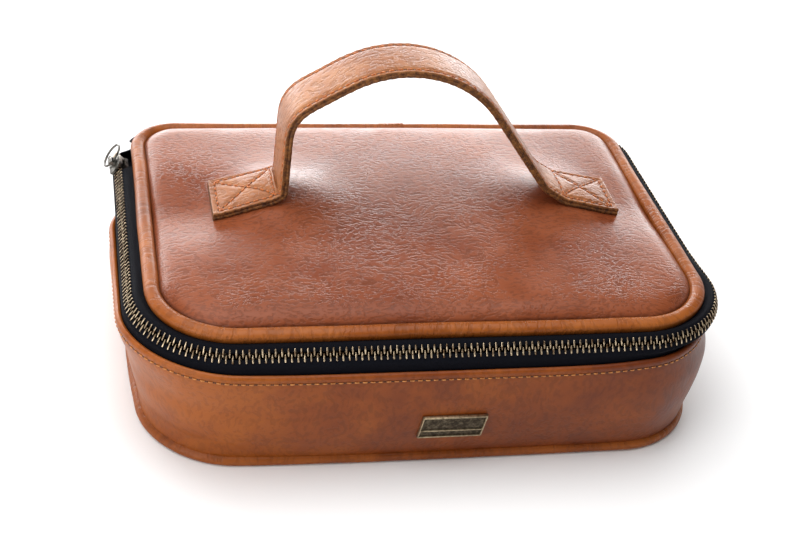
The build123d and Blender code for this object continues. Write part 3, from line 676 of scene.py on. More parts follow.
def tucked(point):
    """1 in the back left corner, where the ends of the tapes are tucked in, 0 beyond it."""
    if point.x > -BACK_X or point.y < BACK_Y:
        return 0.0
    turned = atan2(point.y - BACK_Y, -BACK_X - point.x)
    return eased((turned - radians(8)) / radians(20)) * eased((radians(88) - turned) / radians(25))


print("drawn in at the end of the left side:", tight_end(Vector((-HALF_WIDTH, BACK_Y, 0))))

# %% [markdown]
# A section point is a distance outwards and a height. Near the piping nothing moves, since the
# lid's seam is stiff, and at the very foot little does, since the case stands on it. Every term
# fades in over some millimetres of height, so the rim, the tapes and the teeth can move by
# different amounts without a step between them. A place is its x and y and how far it reaches.

# %% Settled walls
RIM_DRAWN_IN = 8.5 * MM
TUCK = 5.0 * MM
FOOT_PUSHED_IN = 6.4 * MM
HOLLOW_ALL, HOLLOW_BELOW, HOLLOW_RIM = 3.0 * MM, 1.9 * MM, 3.6 * MM
HOLLOW_PLACE = (112, -58, 30)
PUSHED_PLACE = (-106, -67, 38)
RAISED_LEFT, RAISED_RIGHT = (-104, -71, 28), (106, -69, 34)


def settled(point, d, z):
    """Where a section point (out, up) lies once the walls have sunk, spread and been drawn in."""
    free = eased((d - 1.5 * MM) / (5 * MM))
    near_rim = eased((53.5 * MM - z) / (3.5 * MM))
    below_teeth = eased((51.5 * MM - z) / (3.0 * MM))
    off_foot = eased(z / (26 * MM))
    drawn_in = max(RIM_DRAWN_IN * below_teeth * tight_end(point) * off_foot,
                   TUCK * tucked(point) * eased((59 * MM - z) / (5 * MM)) * off_foot)
    hollow = beside(point, *HOLLOW_PLACE) * (
        HOLLOW_ALL * eased((57 * MM - z) / (8 * MM)) * (0.5 + 0.5 * eased(z / (25 * MM)))
        + below_teeth * (HOLLOW_BELOW * eased(z / (18 * MM))
                         + HOLLOW_RIM * eased((z - 34 * MM) / (12 * MM))))
    foot = FOOT_PUSHED_IN * beside(point, *PUSHED_PLACE) * eased((46 * MM - z) / (18 * MM)) * (
        0.45 + 0.55 * eased(z / (12 * MM)))
    front = eased((-point.y - 20 * MM) / (40 * MM))
    left, right = beside(point, *RAISED_LEFT), beside(point, *RAISED_RIGHT)
    on_tape, on_rim = 1.6 * front + 1.3 * right, 2.0 * front + 1.8 * left + 2.0 * right
    lift = (on_tape * (1 - near_rim) + on_rim * near_rim) * MM
    band = free * eased((z - 24 * MM) / (22 * MM))
    return d - (drawn_in + hollow) * free - foot, z + lift * band


def placed(point, out, d, z):
    """A section point in space, settled."""
    d, z = settled(point, d, z)
    return point + out * d + Vector((0, 0, z))


print("the rim is drawn in by up to", round(RIM_DRAWN_IN / MM, 1), "mm")

# %% [markdown]
# ## Sections and sweeps
# A part that goes round the case is a section, carried along the outline. Sections start as a few
# straight lines whose bends are rounded with true arcs, as a folded edge bends round a radius.

# %% Sweeping a section
def stops(first, last, step):
    """Evenly spaced values from first to last, about a step apart."""
    count = max(1, ceil(abs(last - first) / step))
    return [first + (last - first) * k / count for k in range(count + 1)]


def swept(name, section_at, first, last, step, across_closed=False):
    """Skin of a section that can change along the way. A whole turn is closed on itself."""
    whole = abs(last - first) >= ROUND - 1e-6
    places = stops(first, last, step)
    rows = []
    for along in places[:-1] if whole else places:
        point, out = stand(along)
        rows.append([placed(point, out, d, z) for d, z in section_at(along)])
    return grid_mesh(name, rows, across_closed, whole, first)


def rounded(corners, radii, step):
    """Points along a polyline whose inner corners are rounded with arcs."""
    points = [Vector(corners[0])]
    for before, bend, after, radius in zip(corners, corners[1:], corners[2:], radii):
        bend = Vector(bend)
        going = (bend - Vector(before)).normalized()
        leaving = (Vector(after) - bend).normalized()
        turn = going.angle(leaving)
        setback = radius * tan(turn / 2)
        start, end = bend - going * setback, bend + leaving * setback
        centre = bend + (leaving - going).normalized() * hypot(radius, setback)
        for share in stops(0, 1, step / max(radius * turn, 1e-9)):
            spot = start.lerp(end, share) - centre
            points.append(centre + spot.normalized() * radius)
    points.append(Vector(corners[-1]))
    dense = [points[0]]
    for before, after in zip(points, points[1:]):
        for share in stops(0, 1, step / max((after - before).length, 1e-9))[1:]:
            dense.append(before.lerp(after, share))
    return dense


def round_section(centre, radius, count):
    """The section of a cord."""
    return [(centre[0] + radius * cos(2 * pi * k / count),
             centre[1] + radius * sin(2 * pi * k / count)) for k in range(count)]


def strip_section(line, low, high):
    """Closed outline of a strip that follows a line, from low to high on its left."""
    sides = [[], []]
    for k, point in enumerate(line):
        going = (line[min(k + 1, len(line) - 1)] - line[max(k - 1, 0)]).normalized()
        left = Vector((-going.y, going.x))
        sides[0].append(point + left * low)
        sides[1].append(point + left * high)
    return sides[1] + sides[0][::-1]


def slow_wave(along, seed, turns=5):
    """A smooth wave round the case between -1 and 1 that meets itself."""
    share = 2 * pi * along / ROUND
    return 0.6 * sin(turns * share + seed) + 0.4 * sin((turns + 3) * share + 2.3 * seed)


print("sections ready")

# %% [markdown]
# ## The wall
# The wall is one long piece of leather round the case. Its foot is sewn to the bottom with a piped
# seam, it swells a little on its way up, and its top edge is folded in and stitched as a thick
# round rim. A swept section gives the form, and small waves along the way keep it from looking
# cast.

# %% Wall leather with its folded rim
WALL_FOOT = (6.6 * MM, 3.4 * MM)
RIM_OUT = 13.9 * MM
RIM_THICKNESS = 2.3 * MM
RIM_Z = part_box("wall_leather")[1][2]
BULGE_Z, BULGE_R = 24.0 * MM, 70.0 * MM
RIM_STITCH_Z = RIM_Z - 3.2 * MM
RIM_PUFF_Z = RIM_Z - 1.9 * MM
FOLD_END_Z = RIM_Z - 8.5 * MM
SWELL, GROOVE, PUFF = 0.35 * MM, 0.32 * MM, 0.25 * MM
GROOVE_HALF, PUFF_HALF = 0.55 * MM, 1.3 * MM
wall_line = rounded(
    [WALL_FOOT, (RIM_OUT, BULGE_Z), (RIM_OUT, RIM_Z), (RIM_OUT - RIM_THICKNESS, RIM_Z),
     (RIM_OUT - RIM_THICKNESS, FOLD_END_Z)],
    [BULGE_R, RIM_THICKNESS * 0.49, RIM_THICKNESS * 0.49], 0.9 * MM)


def on_outside(d, z):
    """Whether a section point is on the wall's outer face and not on the folded edge."""
    return d > RIM_OUT - RIM_THICKNESS / 2 or z < BULGE_Z


def wall_section(along):
    """The wall's outer face at one place: foot, swell, groove under the stitches, rim, fold."""
    section = []
    for d, z in wall_line:
        swell = SWELL * slow_wave(along, 1.3) * sin(pi * min(1, z / RIM_Z)) ** 2
        groove = GROOVE * exp(-((z - RIM_STITCH_Z) / GROOVE_HALF) ** 2)
        puff = PUFF * exp(-((z - RIM_PUFF_Z) / PUFF_HALF) ** 2)
        section.append((d + (swell - groove + puff if on_outside(d, z) else 0), z))
    return section


def wall_out(along, height):
    """How far out the wall is at a height."""
    return min((abs(z - height), d) for d, z in wall_section(along) if on_outside(d, z))[1]


wall_mesh = swept("wall_skin", wall_section, 0, ROUND, 1.5 * MM)
wall_skin = new_piece("wall_skin", wall_mesh, "base", "wall_leather", WALL_LEATHER)
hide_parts("wall_leather")
print("wall:", len(wall_mesh.polygons), "faces, rim at", round(RIM_Z / MM, 1), "mm")

# %% [markdown]
# The wall is stiffened by a strip of pulp board between its leather and its lining. The leather has
# sunk in places, and the board has sunk with it, so it is swept and settled in the same way.

# %% Wall board
BOARD, BOARD_IN = 1.6 * MM, 2.1 * MM
board_low, board_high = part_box("wall_stiffener")
board_line = [Vector((d - BOARD_IN, z)) for d, z in wall_line
              if board_low[2] < z < board_high[2] and on_outside(d, z)]
wall_board_mesh = swept("wall_board", lambda along: strip_section(board_line, 0, BOARD),
                        0, ROUND, 2.5 * MM, across_closed=True)
wall_board = new_piece("wall_board", wall_board_mesh, "base", "board", PULP_BOARD)
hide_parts("wall_stiffener")
print("wall board:", len(wall_board_mesh.polygons), "faces")

# %% [markdown]
# ## Piped seams
# Both piped seams are leather strips sewn round a cord. The one round the lid is thick and shows
# all round; the welt at the foot is thinner and flattens where the case stands. Hand sewing makes
# the roll swell and narrow slightly, and the lid's roll overlaps itself where its ends meet at the
# back.

# %% Lid piping and bottom welt
PIPING_Z = piping_high[2] - PIPING_R
JOIN_ALONG = ROUND - 12 * MM
JOIN_LAP, JOIN_TAPER = 0.45 * MM, 9 * MM
welt_low, welt_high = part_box("base_welt")
WELT_R = (welt_high[2] - welt_low[2]) / 2
WELT_OUT = welt_high[0] - WELT_R - HALF_WIDTH


def piping_section(along):
    """Round roll that swells a little, with a raised lap where its two ends overlap."""
    past = along - JOIN_ALONG
    lap = JOIN_LAP * exp(-past / JOIN_TAPER) if past >= 0 else 0
    radius = PIPING_R * (1 + 0.02 * slow_wave(along, 0.4, 17)) + lap
    return round_section((0.25 * MM * slow_wave(along, 2.1, 7), PIPING_Z), radius, 28)


def welt_section(along):
    shift = 0.2 * MM * slow_wave(along, 4.4, 9)
    radius = WELT_R * (1 + 0.015 * slow_wave(along, 3, 15))
    return round_section((WELT_OUT + shift, WELT_R), radius, 20)


piping_mesh = swept("lid_piping_roll", piping_section, 0, ROUND, 1.2 * MM, across_closed=True)
piping_roll = new_piece("lid_piping_roll", piping_mesh, "lid", "piping_leather", PIPING_LEATHER)
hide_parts("lid_piping")
welt_mesh = swept("bottom_welt_roll", welt_section, 0, ROUND, 1.5 * MM, across_closed=True)
welt_roll = new_piece("bottom_welt_roll", welt_mesh, "base", "wall_leather", PIPING_LEATHER)
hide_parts("base_welt")
print("rolls:", len(piping_mesh.polygons) + len(welt_mesh.polygons), "faces")

# %% [markdown]
# ## Zip
# The band between lid and wall is the woven tape of a metal zip. From the seam under the piping the
# upper tape runs out, bends over and slopes down to the teeth; the lower tape carries on from the
# teeth and goes down inside the rim. Each tape is a thin closed strip swept along the outline.
# Beside the slider the upper tape is turned back, so its strip keeps only a share of its line
# there.

# %% Zip tapes
ZIP_TILT = radians(55)
CHAIN_OUT = 8.6 * MM
CHAIN_Z = PIPING_Z - 4.8 * MM
TAPE, TAPE_EDGE = 0.8 * MM, 1.2 * MM
SEAM = (-1.6 * MM, PIPING_Z - 2.67 * MM)
SHOULDER = (6.51 * MM, PIPING_Z - 1.82 * MM)
INTO_WALL = (11.1 * MM, PIPING_Z - 8.37 * MM)
TAPE_END = (INTO_WALL[0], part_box("zip_tape_lower")[0][2])
TAPE_BEND_R = 2.8 * MM
SLIDER_PLACE_Y = 55.0 * MM
SLIDER_HALF = 5.0 * MM
FOLD_BACK = 0.55


def on_zip(down, out):
    """Section point in the zip's own plane: down across the teeth, out of its face."""
    return (CHAIN_OUT + down * cos(ZIP_TILT) + out * sin(ZIP_TILT),
            CHAIN_Z - down * sin(ZIP_TILT) + out * cos(ZIP_TILT))


def resampled(line, count, share=1.0):
    """Evenly spaced points on the first share of a line."""
    lengths = [0.0]
    for before, after in zip(line, line[1:]):
        lengths.append(lengths[-1] + (after - before).length)
    points = []
    for k in range(count):
        wanted = lengths[-1] * share * k / (count - 1)
        leg = next(i for i in range(1, len(line)) if lengths[i] >= wanted - 1e-9)
        part = (wanted - lengths[leg - 1]) / (lengths[leg] - lengths[leg - 1])
        points.append(line[leg - 1].lerp(line[leg], part))
    return points


def beside_slider(along):
    """1 where the upper tape is turned back for the slider and its ring, 0 away from them."""
    point, _ = stand(along)
    if point.x > 0 or point.y < 0:
        return 0.0
    front = SLIDER_PLACE_Y - SLIDER_HALF - 2.5 * MM
    back = BACK_Y + 9.5 * MM
    return eased((point.y - front) / (3 * MM)) * eased((back - point.y) / (3 * MM))


upper_line = rounded([SEAM, SHOULDER, on_zip(-TAPE_EDGE, 0)], [TAPE_BEND_R], 0.8 * MM)
lower_line = rounded([on_zip(TAPE_EDGE, 0), INTO_WALL, TAPE_END], [TAPE_BEND_R], 0.8 * MM)


def upper_tape_section(along):
    share = 1 - FOLD_BACK * beside_slider(along)
    return strip_section(resampled(upper_line, 14, share), -TAPE / 2, TAPE / 2)


upper_mesh = swept("zip_tape_upper_weave", upper_tape_section,
                   LEFT_BACK_CORNER, RIGHT_BACK_CORNER, 1.2 * MM, across_closed=True)
upper_tape = new_piece("zip_tape_upper_weave", upper_mesh, "lid", "zip_tape", ZIP_TAPE)
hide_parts("zip_tape_upper")
lower_mesh = swept("zip_tape_lower_weave",
                   lambda along: strip_section(lower_line, -TAPE / 2, TAPE / 2),
                   LEFT_BACK_CORNER, RIGHT_BACK_CORNER, 1.8 * MM, across_closed=True)
lower_tape = new_piece("zip_tape_lower_weave", lower_mesh, "base", "zip_tape", ZIP_TAPE)
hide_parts("zip_tape_lower")
print("tapes:", len(upper_mesh.polygons) + len(lower_mesh.polygons), "faces")

# %% [markdown]
# The teeth are stamped brass. Each has a head that stands on the middle line, thinner at its nose,
# and two legs clamped round the edge of its tape. The faces that look along the zip keep their
# black film. One tooth is built from two blocks with rounded edges.

# %% One tooth
TOOTH_WIDTH = 0.72 * MM
TOOTH_HALF_HEIGHT = 1.05 * MM
TOOTH_NOSE, TOOTH_REACH = -0.5 * MM, 2.7 * MM
TOOTH_ROUND = 0.26 * MM
LEG_FROM = 0.3 * MM
NOSE_NARROWER, NOSE_LOWER = 0.35, 0.12
FLANK_TURN = 0.75


def soft_block(low, high, radius, segments=2):
    """Block with rounded edges, as a bmesh."""
    shape = bmesh.new()
    bmesh.ops.create_cube(shape, size=1)
    middle = (Vector(low) + Vector(high)) / 2
    size = Vector(high) - Vector(low)
    for vert in shape.verts:
        vert.co = Vector(c * s for c, s in zip(vert.co, size)) + middle
    bmesh.ops.bevel(shape, geom=shape.edges[:], offset=radius, segments=segments, affect="EDGES",
                    profile=0.5)
    return shape


def tooth_form():
    """Points (along, down, out) of one tooth, its faces, and 1 for every face on a flank."""
    half = TOOTH_WIDTH / 2
    points, faces = [], []
    for low, high in (((-half, LEG_FROM, LEG_FROM), (half, TOOTH_REACH, TOOTH_HALF_HEIGHT)),
                      ((-half, TOOTH_NOSE, -TOOTH_HALF_HEIGHT),
                       (half, TAPE_EDGE, TOOTH_HALF_HEIGHT))):
        block = soft_block(low, high, TOOTH_ROUND)
        block.verts.ensure_lookup_table()
        faces += [[len(points) + v.index for v in f.verts] for f in block.faces]
        points += [v.co.copy() for v in block.verts]
        block.free()
    for point in points:
        nose = eased((0.5 * MM - point.y) / (1.0 * MM))
        point.x *= 1 - NOSE_NARROWER * nose
        point.z *= 1 - NOSE_LOWER * nose
    flank = []
    for face in faces:
        a, b, c = (points[k] for k in face[:3])
        flank.append(1 if abs((b - a).cross(c - b).normalized().x) > FLANK_TURN else 0)
    return points, faces, flank


print("a tooth has", len(tooth_form()[1]), "faces")

# %% [markdown]
# The two rows sit half a pitch apart, so the heads of one row fill the gaps of the other. They are
# copies of the one tooth along the way, and the lower tape's row is its mirror image, so its faces
# are turned over.

# %% Rows of teeth
TOOTH_PITCH = 2.46 * MM
CHAIN_END_TURN = radians(35)
CHAIN_START = sum(leg_lengths(CHAIN_OUT)[:2])
CHAIN_LENGTH = sum(leg_lengths(CHAIN_OUT)[2:7]) + (BACK_CORNER_R + CHAIN_OUT) * CHAIN_END_TURN
LOWER_START = -2.1 * MM
UPPER_START = BACK_Y - SLIDER_PLACE_Y + SLIDER_HALF + 0.75 * MM


def teeth_mesh(name, side, start, phase):
    """A row of teeth. side is 1 on the lower tape and -1 on the upper one."""
    form, form_faces, flank = tooth_form()
    turned = form_faces if side < 0 else [face[::-1] for face in form_faces]
    points, faces, kinds = [], [], []
    number = ceil(start / TOOTH_PITCH - phase)
    while (number + phase) * TOOTH_PITCH <= CHAIN_LENGTH:
        place, out = stand(CHAIN_START + (number + phase) * TOOTH_PITCH, CHAIN_OUT)
        onward = Vector((-out.y, out.x, 0))
        base = len(points)
        for along, down, outward in form:
            points.append(placed(place, out, *on_zip(side * down, outward)) + onward * along)
        faces += [[base + k for k in face] for face in turned]
        kinds += flank
        number += 1
    mesh = bpy.data.meshes.new(name)
    mesh.from_pydata([tuple(p) for p in points], [], faces)
    mesh.polygons.foreach_set("material_index", kinds)
    mesh.update()
    return smoothed(mesh)


lower_teeth = new_piece("lower_teeth", teeth_mesh("lower_teeth", 1, LOWER_START, 0.0), "base",
                        "antique_brass", ZIP_BRASS, TOOTH_FILM)
upper_teeth = new_piece("upper_teeth", teeth_mesh("upper_teeth", -1, UPPER_START, 0.5), "lid",
                        "antique_brass", ZIP_BRASS, TOOTH_FILM)
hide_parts("zip_teeth_lower")
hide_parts("zip_teeth_upper")
print("teeth:", len(lower_teeth.data.polygons) + len(upper_teeth.data.polygons), "faces")

# %% [markdown]
# ## Padded lid
# The lid's leather is pulled over foam and sewn into the piped seam, so it rises steeply out of the
# seam, turns over a soft shoulder and crowns gently in the middle. Years of lifting have pulled it
# up under both feet of the strap and let it sink beside them. The height is one smooth formula.

# %% Height of the lid
panel_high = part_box("lid_top_panel")[1]
PANEL_EDGE = -2.9 * MM
PANEL_FOOT_Z = PIPING_Z - 1.2 * MM
CROWN = 4.5 * MM
FOOT_LIFT, FOOT_DIP = 5.6 * MM, 4.0 * MM
LEFT_TAB, RIGHT_TAB = (-56, 6, 22), (62, 6, 24)
LEFT_DIP, RIGHT_DIP = (-92, 2, 24), (98, 2, 24)
UNEVEN = 0.5 * MM
SEAM_RISE = 1.3 * MM
SHOULDER_RISE = panel_high[2] - PIPING_Z - 0.2 * MM - SEAM_RISE
SHOULDER_RUN = 3.2 * MM
SEWN_DOWN = 0.3 * MM


def lid_height(x, y, inward):
    """Height of the lid leather. inward is the distance in from the seam."""
    shoulder = 1 - exp(-inward / SHOULDER_RUN)
    crown = max(0.0, 1 - (x / HALF_WIDTH) ** 2) * max(0.0, 1 - (y / HALF_DEPTH) ** 2)
    soft = noise.noise(Vector((x * 18, y * 18, 0.3))) * UNEVEN * min(1, inward / (12 * MM))
    spot = Vector((x, y))
    feet = FOOT_LIFT * (beside(spot, *LEFT_TAB) + 0.7 * beside(spot, *RIGHT_TAB))
    dips = FOOT_DIP * (beside(spot, *LEFT_DIP) + 0.6 * beside(spot, *RIGHT_DIP))
    return (PIPING_Z + SEAM_RISE + SHOULDER_RISE * shoulder + CROWN * crown + feet - dips + soft
            - SEWN_DOWN)


print("the lid is", round(lid_height(0, 0, HALF_DEPTH) / MM, 1), "mm high in the middle")

# %% [markdown]
# Rings of points step inwards from the outline, close together over the shoulder and wider apart on
# the flat, which gives a clean edge along the seam. They go straight in for 9 mm, half the radius
# of the back corners, and from there they close evenly on the middle, so that they never cross.

# %% Lid leather
STRAIGHT_IN = 9.0 * MM


def inner_point(along, inward):
    """Plan point at a distance in from the outline, on a line that closes on the middle."""
    point, out = stand(along)
    far = Vector((max(-HALF_WIDTH + HALF_DEPTH, min(HALF_WIDTH - HALF_DEPTH, point.x)), 0, 0))
    straight = min(inward, STRAIGHT_IN)
    return (point - out * straight).lerp(far, (inward - straight) / (HALF_DEPTH - straight))


def lid_rows():
    edge = -PANEL_EDGE
    steps = [edge + s * MM for s in (0, 0.2, 0.5, 0.9, 1.5, 2.2, 3.0)]
    steps += stops(edge + 4 * MM, HALF_DEPTH, 1.7 * MM)
    rows = []
    for along in stops(0, ROUND, 1.5 * MM)[:-1]:
        point, out = stand(along)
        row = [point + out * PANEL_EDGE + Vector((0, 0, PANEL_FOOT_Z))]
        for inward in steps:
            point = inner_point(along, inward)
            row.append(Vector((point.x, point.y, lid_height(point.x, point.y, inward - edge))))
        rows.append(row)
    return rows


lid_mesh = grid_mesh("lid_leather", lid_rows(), along_closed=True)
lid_leather = new_piece("lid_leather", lid_mesh, "lid", "tan_leather", LID_LEATHER)
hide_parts("lid_top_panel")
print("lid leather:", len(lid_mesh.polygons), "faces")

# %% [markdown]
# The foam under the leather has taken the same form, 2 mm lower. It is closed underneath, where it
# lies on the lid's board.

# %% Lid foam
foam_low, foam_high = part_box("lid_padding")
FOAM_STEP = 3.0 * MM
FOAM_UNDER = 2.0 * MM
foam_in = HALF_WIDTH - foam_high[0]
foam_rows = []
for along in stops(0, ROUND, FOAM_STEP)[:-1]:
    edge_point = inner_point(along, foam_in)
    row = [Vector((edge_point.x, edge_point.y, foam_low[2]))]
    for inward in stops(foam_in, HALF_DEPTH - MM, FOAM_STEP):
        point = inner_point(along, inward)
        top = lid_height(point.x, point.y, inward + PANEL_EDGE) - FOAM_UNDER
        row.append(Vector((point.x, point.y, max(top, foam_low[2] + 0.3 * MM))))
    foam_rows.append(row)
foam_mesh = grid_mesh("lid_foam", foam_rows, along_closed=True)
reworked(foam_mesh, foot_and_top(len(foam_rows[0])))
lid_foam = new_piece("lid_foam", foam_mesh, "lid", "foam", FOAM)
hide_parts("lid_padding")
print("foam:", len(foam_mesh.polygons), "faces")

# %% [markdown]
# ## Stitches
# Every row of sewing is built stitch by stitch. A stitch is a short thread that comes out of one
# needle hole, lies on the leather with a slight arch, and goes down the next hole. One function
# bends a little six-sided tube between two points; a flat dark disc at each hole is painted shade
# for the hole.

# %% Threads and needle holes
STITCH_SHAPE = ((0.0, -0.8, 0.5), (0.12, 0.2, 0.9), (0.35, 0.75, 1.0), (0.65, 0.75, 1.0),
                (0.88, 0.2, 0.9), (1.0, -0.8, 0.5))
TUBE_SIDES = 6
HOLE_SIDES = 8
HOLE_LONG, HOLE_WIDE = 1.7, 1.3
HOLE_ABOVE = 0.07 * MM


def stitches_mesh(name, stitches, thread_r):
    """Thread tubes, and dark discs of painted shade at the needle holes, for (start, end, normal)
    of every stitch.
    """
    points, faces, kinds = [], [], []
    for start, end, up in stitches:
        going = end - start
        side = going.cross(up).normalized()
        base = len(points)
        for share, lift, width in STITCH_SHAPE:
            middle = start + going * share + up * (lift * thread_r)
            for k in range(TUBE_SIDES):
                turned = 2 * pi * k / TUBE_SIDES
                around = side * cos(turned) + up * sin(turned)
                points.append(middle + around * thread_r * width)
        for ring in range(len(STITCH_SHAPE) - 1):
            for k in range(TUBE_SIDES):
                m = (k + 1) % TUBE_SIDES
                low, high = base + ring * TUBE_SIDES, base + (ring + 1) * TUBE_SIDES
                faces.append((low + k, high + k, high + m, low + m))
                kinds.append(0)
        along = going.normalized()
        # painted shade: a flat dark disc over each needle hole
        for spot in (start, end):
            base = len(points)
            for k in range(HOLE_SIDES):
                turned = 2 * pi * k / HOLE_SIDES
                around = along * cos(turned) * HOLE_LONG + side * sin(turned) * HOLE_WIDE
                points.append(spot + around * thread_r + up * HOLE_ABOVE)
            faces.append(tuple(base + k for k in range(HOLE_SIDES)))
            kinds.append(1)
    mesh = bpy.data.meshes.new(name)
    mesh.from_pydata([tuple(p) for p in points], [], faces)
    mesh.polygons.foreach_set("material_index", kinds)
    mesh.polygons.foreach_set("use_smooth", [kind == 0 for kind in kinds])
    mesh.update()
    return mesh


print("a stitch has", TUBE_SIDES * (len(STITCH_SHAPE) - 1) + 2, "faces")

# %% [markdown]
# One row runs round the folded rim. It is stepped out on the rim itself, so that the stitches keep
# their length round the corners, and it lies in the groove that the wall has there.

# %% Stitches of the rim
RIM_STITCH, RIM_STITCH_PITCH = 2.2 * MM, 3.1 * MM
RIM_THREAD_R = 0.27 * MM


def rim_stitches():
    """One row along the folded rim, in steps measured on the rim itself."""
    long_way = sum(leg_lengths(RIM_OUT))
    count = round(long_way / RIM_STITCH_PITCH)
    stitches = []
    for number in range(count):
        first = number * long_way / count
        ends = []
        for place in (first, first + RIM_STITCH):
            point, out = stand(place, RIM_OUT)
            # the wall's waves are drawn by length along the outline itself
            on_line = place * ROUND / long_way
            ends.append(placed(point, out, wall_out(on_line, RIM_STITCH_Z) + 0.02 * MM,
                               RIM_STITCH_Z))
        stitches.append((ends[0], ends[1], out))
    return stitches


rim_row = rim_stitches()
new_piece("rim_stitches", stitches_mesh("rim_stitches", rim_row, RIM_THREAD_R), "base",
          "wall_leather", RIM_THREAD, NEEDLE_HOLE_SHADE)
print("rim stitches:", len(rim_row))

# %% [markdown]
# ## Carrying strap
# The strap is two layers of bridle leather, cut to one width, glued back to back and sewn along
# both edges. Its ends lie flat on the lid under a sewn box with a cross, and between them the stiff
# leather springs up in a lopsided arch. A smoothed line gives the arch, and a section with a crown,
# sunk stitch rows and slightly scalloped cut edges is carried along it.

# %% The strap's line
strap_low, strap_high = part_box("handle_top_strap")
LID_TOP = panel_high[2] + 0.1 * MM
STRAP_Y = (strap_low[1] + strap_high[1]) / 2
STRAP_HALF = (strap_high[1] - strap_low[1]) / 2
LAYER = 1.7 * MM
STRAP_STEP = 0.8 * MM
SMOOTHINGS = 24
strap_bends = [
    (strap_low[0], LID_TOP),
    (-55.0 * MM, LID_TOP),
    (-54.4 * MM, LID_TOP + 45.5 * MM),
    (3.6 * MM, LID_TOP + 81.0 * MM),
    (64.4 * MM, LID_TOP),
    (strap_high[0], LID_TOP),
]
strap_rough = rounded(strap_bends, [7.0 * MM, 13.7 * MM, 46.4 * MM, 7.0 * MM], 0.5 * MM)
strap_length = sum((b - a).length for a, b in zip(strap_rough, strap_rough[1:]))
strap_line = resampled(strap_rough, round(strap_length / STRAP_STEP) + 1)
for _ in range(SMOOTHINGS):
    between = [(a + b * 2 + c) / 4
               for a, b, c in zip(strap_line, strap_line[1:], strap_line[2:])]
    strap_line = [strap_line[0]] + between + [strap_line[-1]]
print("strap is", round(strap_length / MM), "mm long,", round(2 * STRAP_HALF / MM), "mm wide")

# %% [markdown]
# The strap's surface is worked out in its own measures: s along it, t across it and n through it.
# Stitches press the leather down along their rows, so every row is also a soft groove.

# %% Rows sewn in the strap
ROW_T = STRAP_HALF - 2.0 * MM
BOX_FIRST, BOX_LENGTH = 2.4 * MM, 25.0 * MM
SEW_PITCH, SEW_LENGTH = 3.5 * MM, 2.5 * MM
PRESSED, PRESS_REACH = 0.5 * MM, 1.1 * MM
STRAP_CROWN = 0.35 * MM


def tab_box(first):
    """A sewn box and its cross, as runs of stitches between places (s, t)."""
    last = first + BOX_LENGTH
    a, b, c, d = (first, -ROW_T), (first, ROW_T), (last, ROW_T), (last, -ROW_T)
    return [(b, a), (d, c), (a, c), (b, d)]


SEWN_RUNS = [((BOX_FIRST, t), (strap_length - BOX_FIRST, t)) for t in (-ROW_T, ROW_T)]
SEWN_RUNS += tab_box(BOX_FIRST) + tab_box(strap_length - BOX_FIRST - BOX_LENGTH)


def from_run(s, t, run):
    """Distance from a place on the strap to a run of stitches."""
    (s0, t0), (s1, t1) = run
    share = ((s - s0) * (s1 - s0) + (t - t0) * (t1 - t0)) / ((s1 - s0) ** 2 + (t1 - t0) ** 2)
    share = max(0.0, min(1.0, share))
    return hypot(s - s0 - share * (s1 - s0), t - t0 - share * (t1 - t0))


def raised(s, t):
    """How far the strap's face stands out at a place: its crown, less what the sewing presses."""
    nearest = min(from_run(s, t, run) for run in SEWN_RUNS)
    return (STRAP_CROWN * (1 - (t / STRAP_HALF) ** 2)
            - PRESSED * exp(-(nearest / PRESS_REACH) ** 2))


def strap_point(s, t, n):
    """Point of the strap in the case's frame, lifted onto the lid's crown where it lies down."""
    last = len(strap_line) - 1
    spot = max(0.0, min(last - 0.001, s / strap_length * last))
    k = int(spot)
    on_line = strap_line[k].lerp(strap_line[k + 1], spot - k)
    going = (strap_line[min(k + 2, last)] - strap_line[max(k - 1, 0)]).normalized()
    x, z = on_line.x - going.y * n, on_line.y + going.x * n
    y = STRAP_Y + t
    inward = min(HALF_WIDTH - abs(x), HALF_DEPTH - abs(y)) + PANEL_EDGE
    lift = lid_height(x, y, inward) - LID_TOP + 0.1 * MM
    return Vector((x, y, z + lift * (1 - eased((on_line.y - LID_TOP) / (14 * MM)))))


print("runs of stitches:", len(SEWN_RUNS))

# %% [markdown]
# Each layer is a closed section with more points near its edges, where it is rounded by the knife
# and the burnisher. Its narrow sides and its two ends get the look of cut leather.

# %% Two layers of leather
SCALLOP, EDGE_WANDER = 0.16 * MM, 0.2 * MM
CORNER_DROP, CORNER_RUN = 0.3 * MM, 0.7 * MM


def strap_layer(name, low, high, outside):
    """One layer of the strap. Its outside is the face that carries the stitches."""
    sides = [-STRAP_HALF + 0.35 * MM * k for k in range(4)]
    sides += stops(-STRAP_HALF + 1.4 * MM, 0, 0.7 * MM)[:-1]
    across = sides + [0.0] + [-t for t in sides[::-1]]
    count = len(across)
    rows = []
    for s in stops(0, strap_length, STRAP_STEP):
        scallop = (SCALLOP * cos(2 * pi * s / SEW_PITCH)
                   + EDGE_WANDER * noise.noise(Vector((s * 300, low * 900, 1))))
        face = []
        for t in across:
            corner = CORNER_DROP * max(0.0, 1 - (STRAP_HALF - abs(t)) / CORNER_RUN) ** 2
            face.append((t * (1 + scallop / STRAP_HALF), raised(s, t) - corner))
        top = [(t, (high + d) if outside > 0 else high) for t, d in face]
        under = [(t, low if outside > 0 else low - d) for t, d in face]
        rows.append([strap_point(s, t, n) for t, n in top + under[::-1]])

    def cut_faces(shape):
        ring = 2 * count
        shape.faces.new([shape.verts[k] for k in range(ring)][::-1]).material_index = 1
        shape.faces.new(shape.verts[len(shape.verts) - ring:]).material_index = 1
        for face in shape.faces:
            columns = {v.index % ring for v in face.verts}
            if columns <= {count - 1, count} or columns <= {0, ring - 1}:
                face.material_index = 1

    mesh = grid_mesh(name, rows, across_closed=True)
    reworked(mesh, cut_faces)
    return mesh


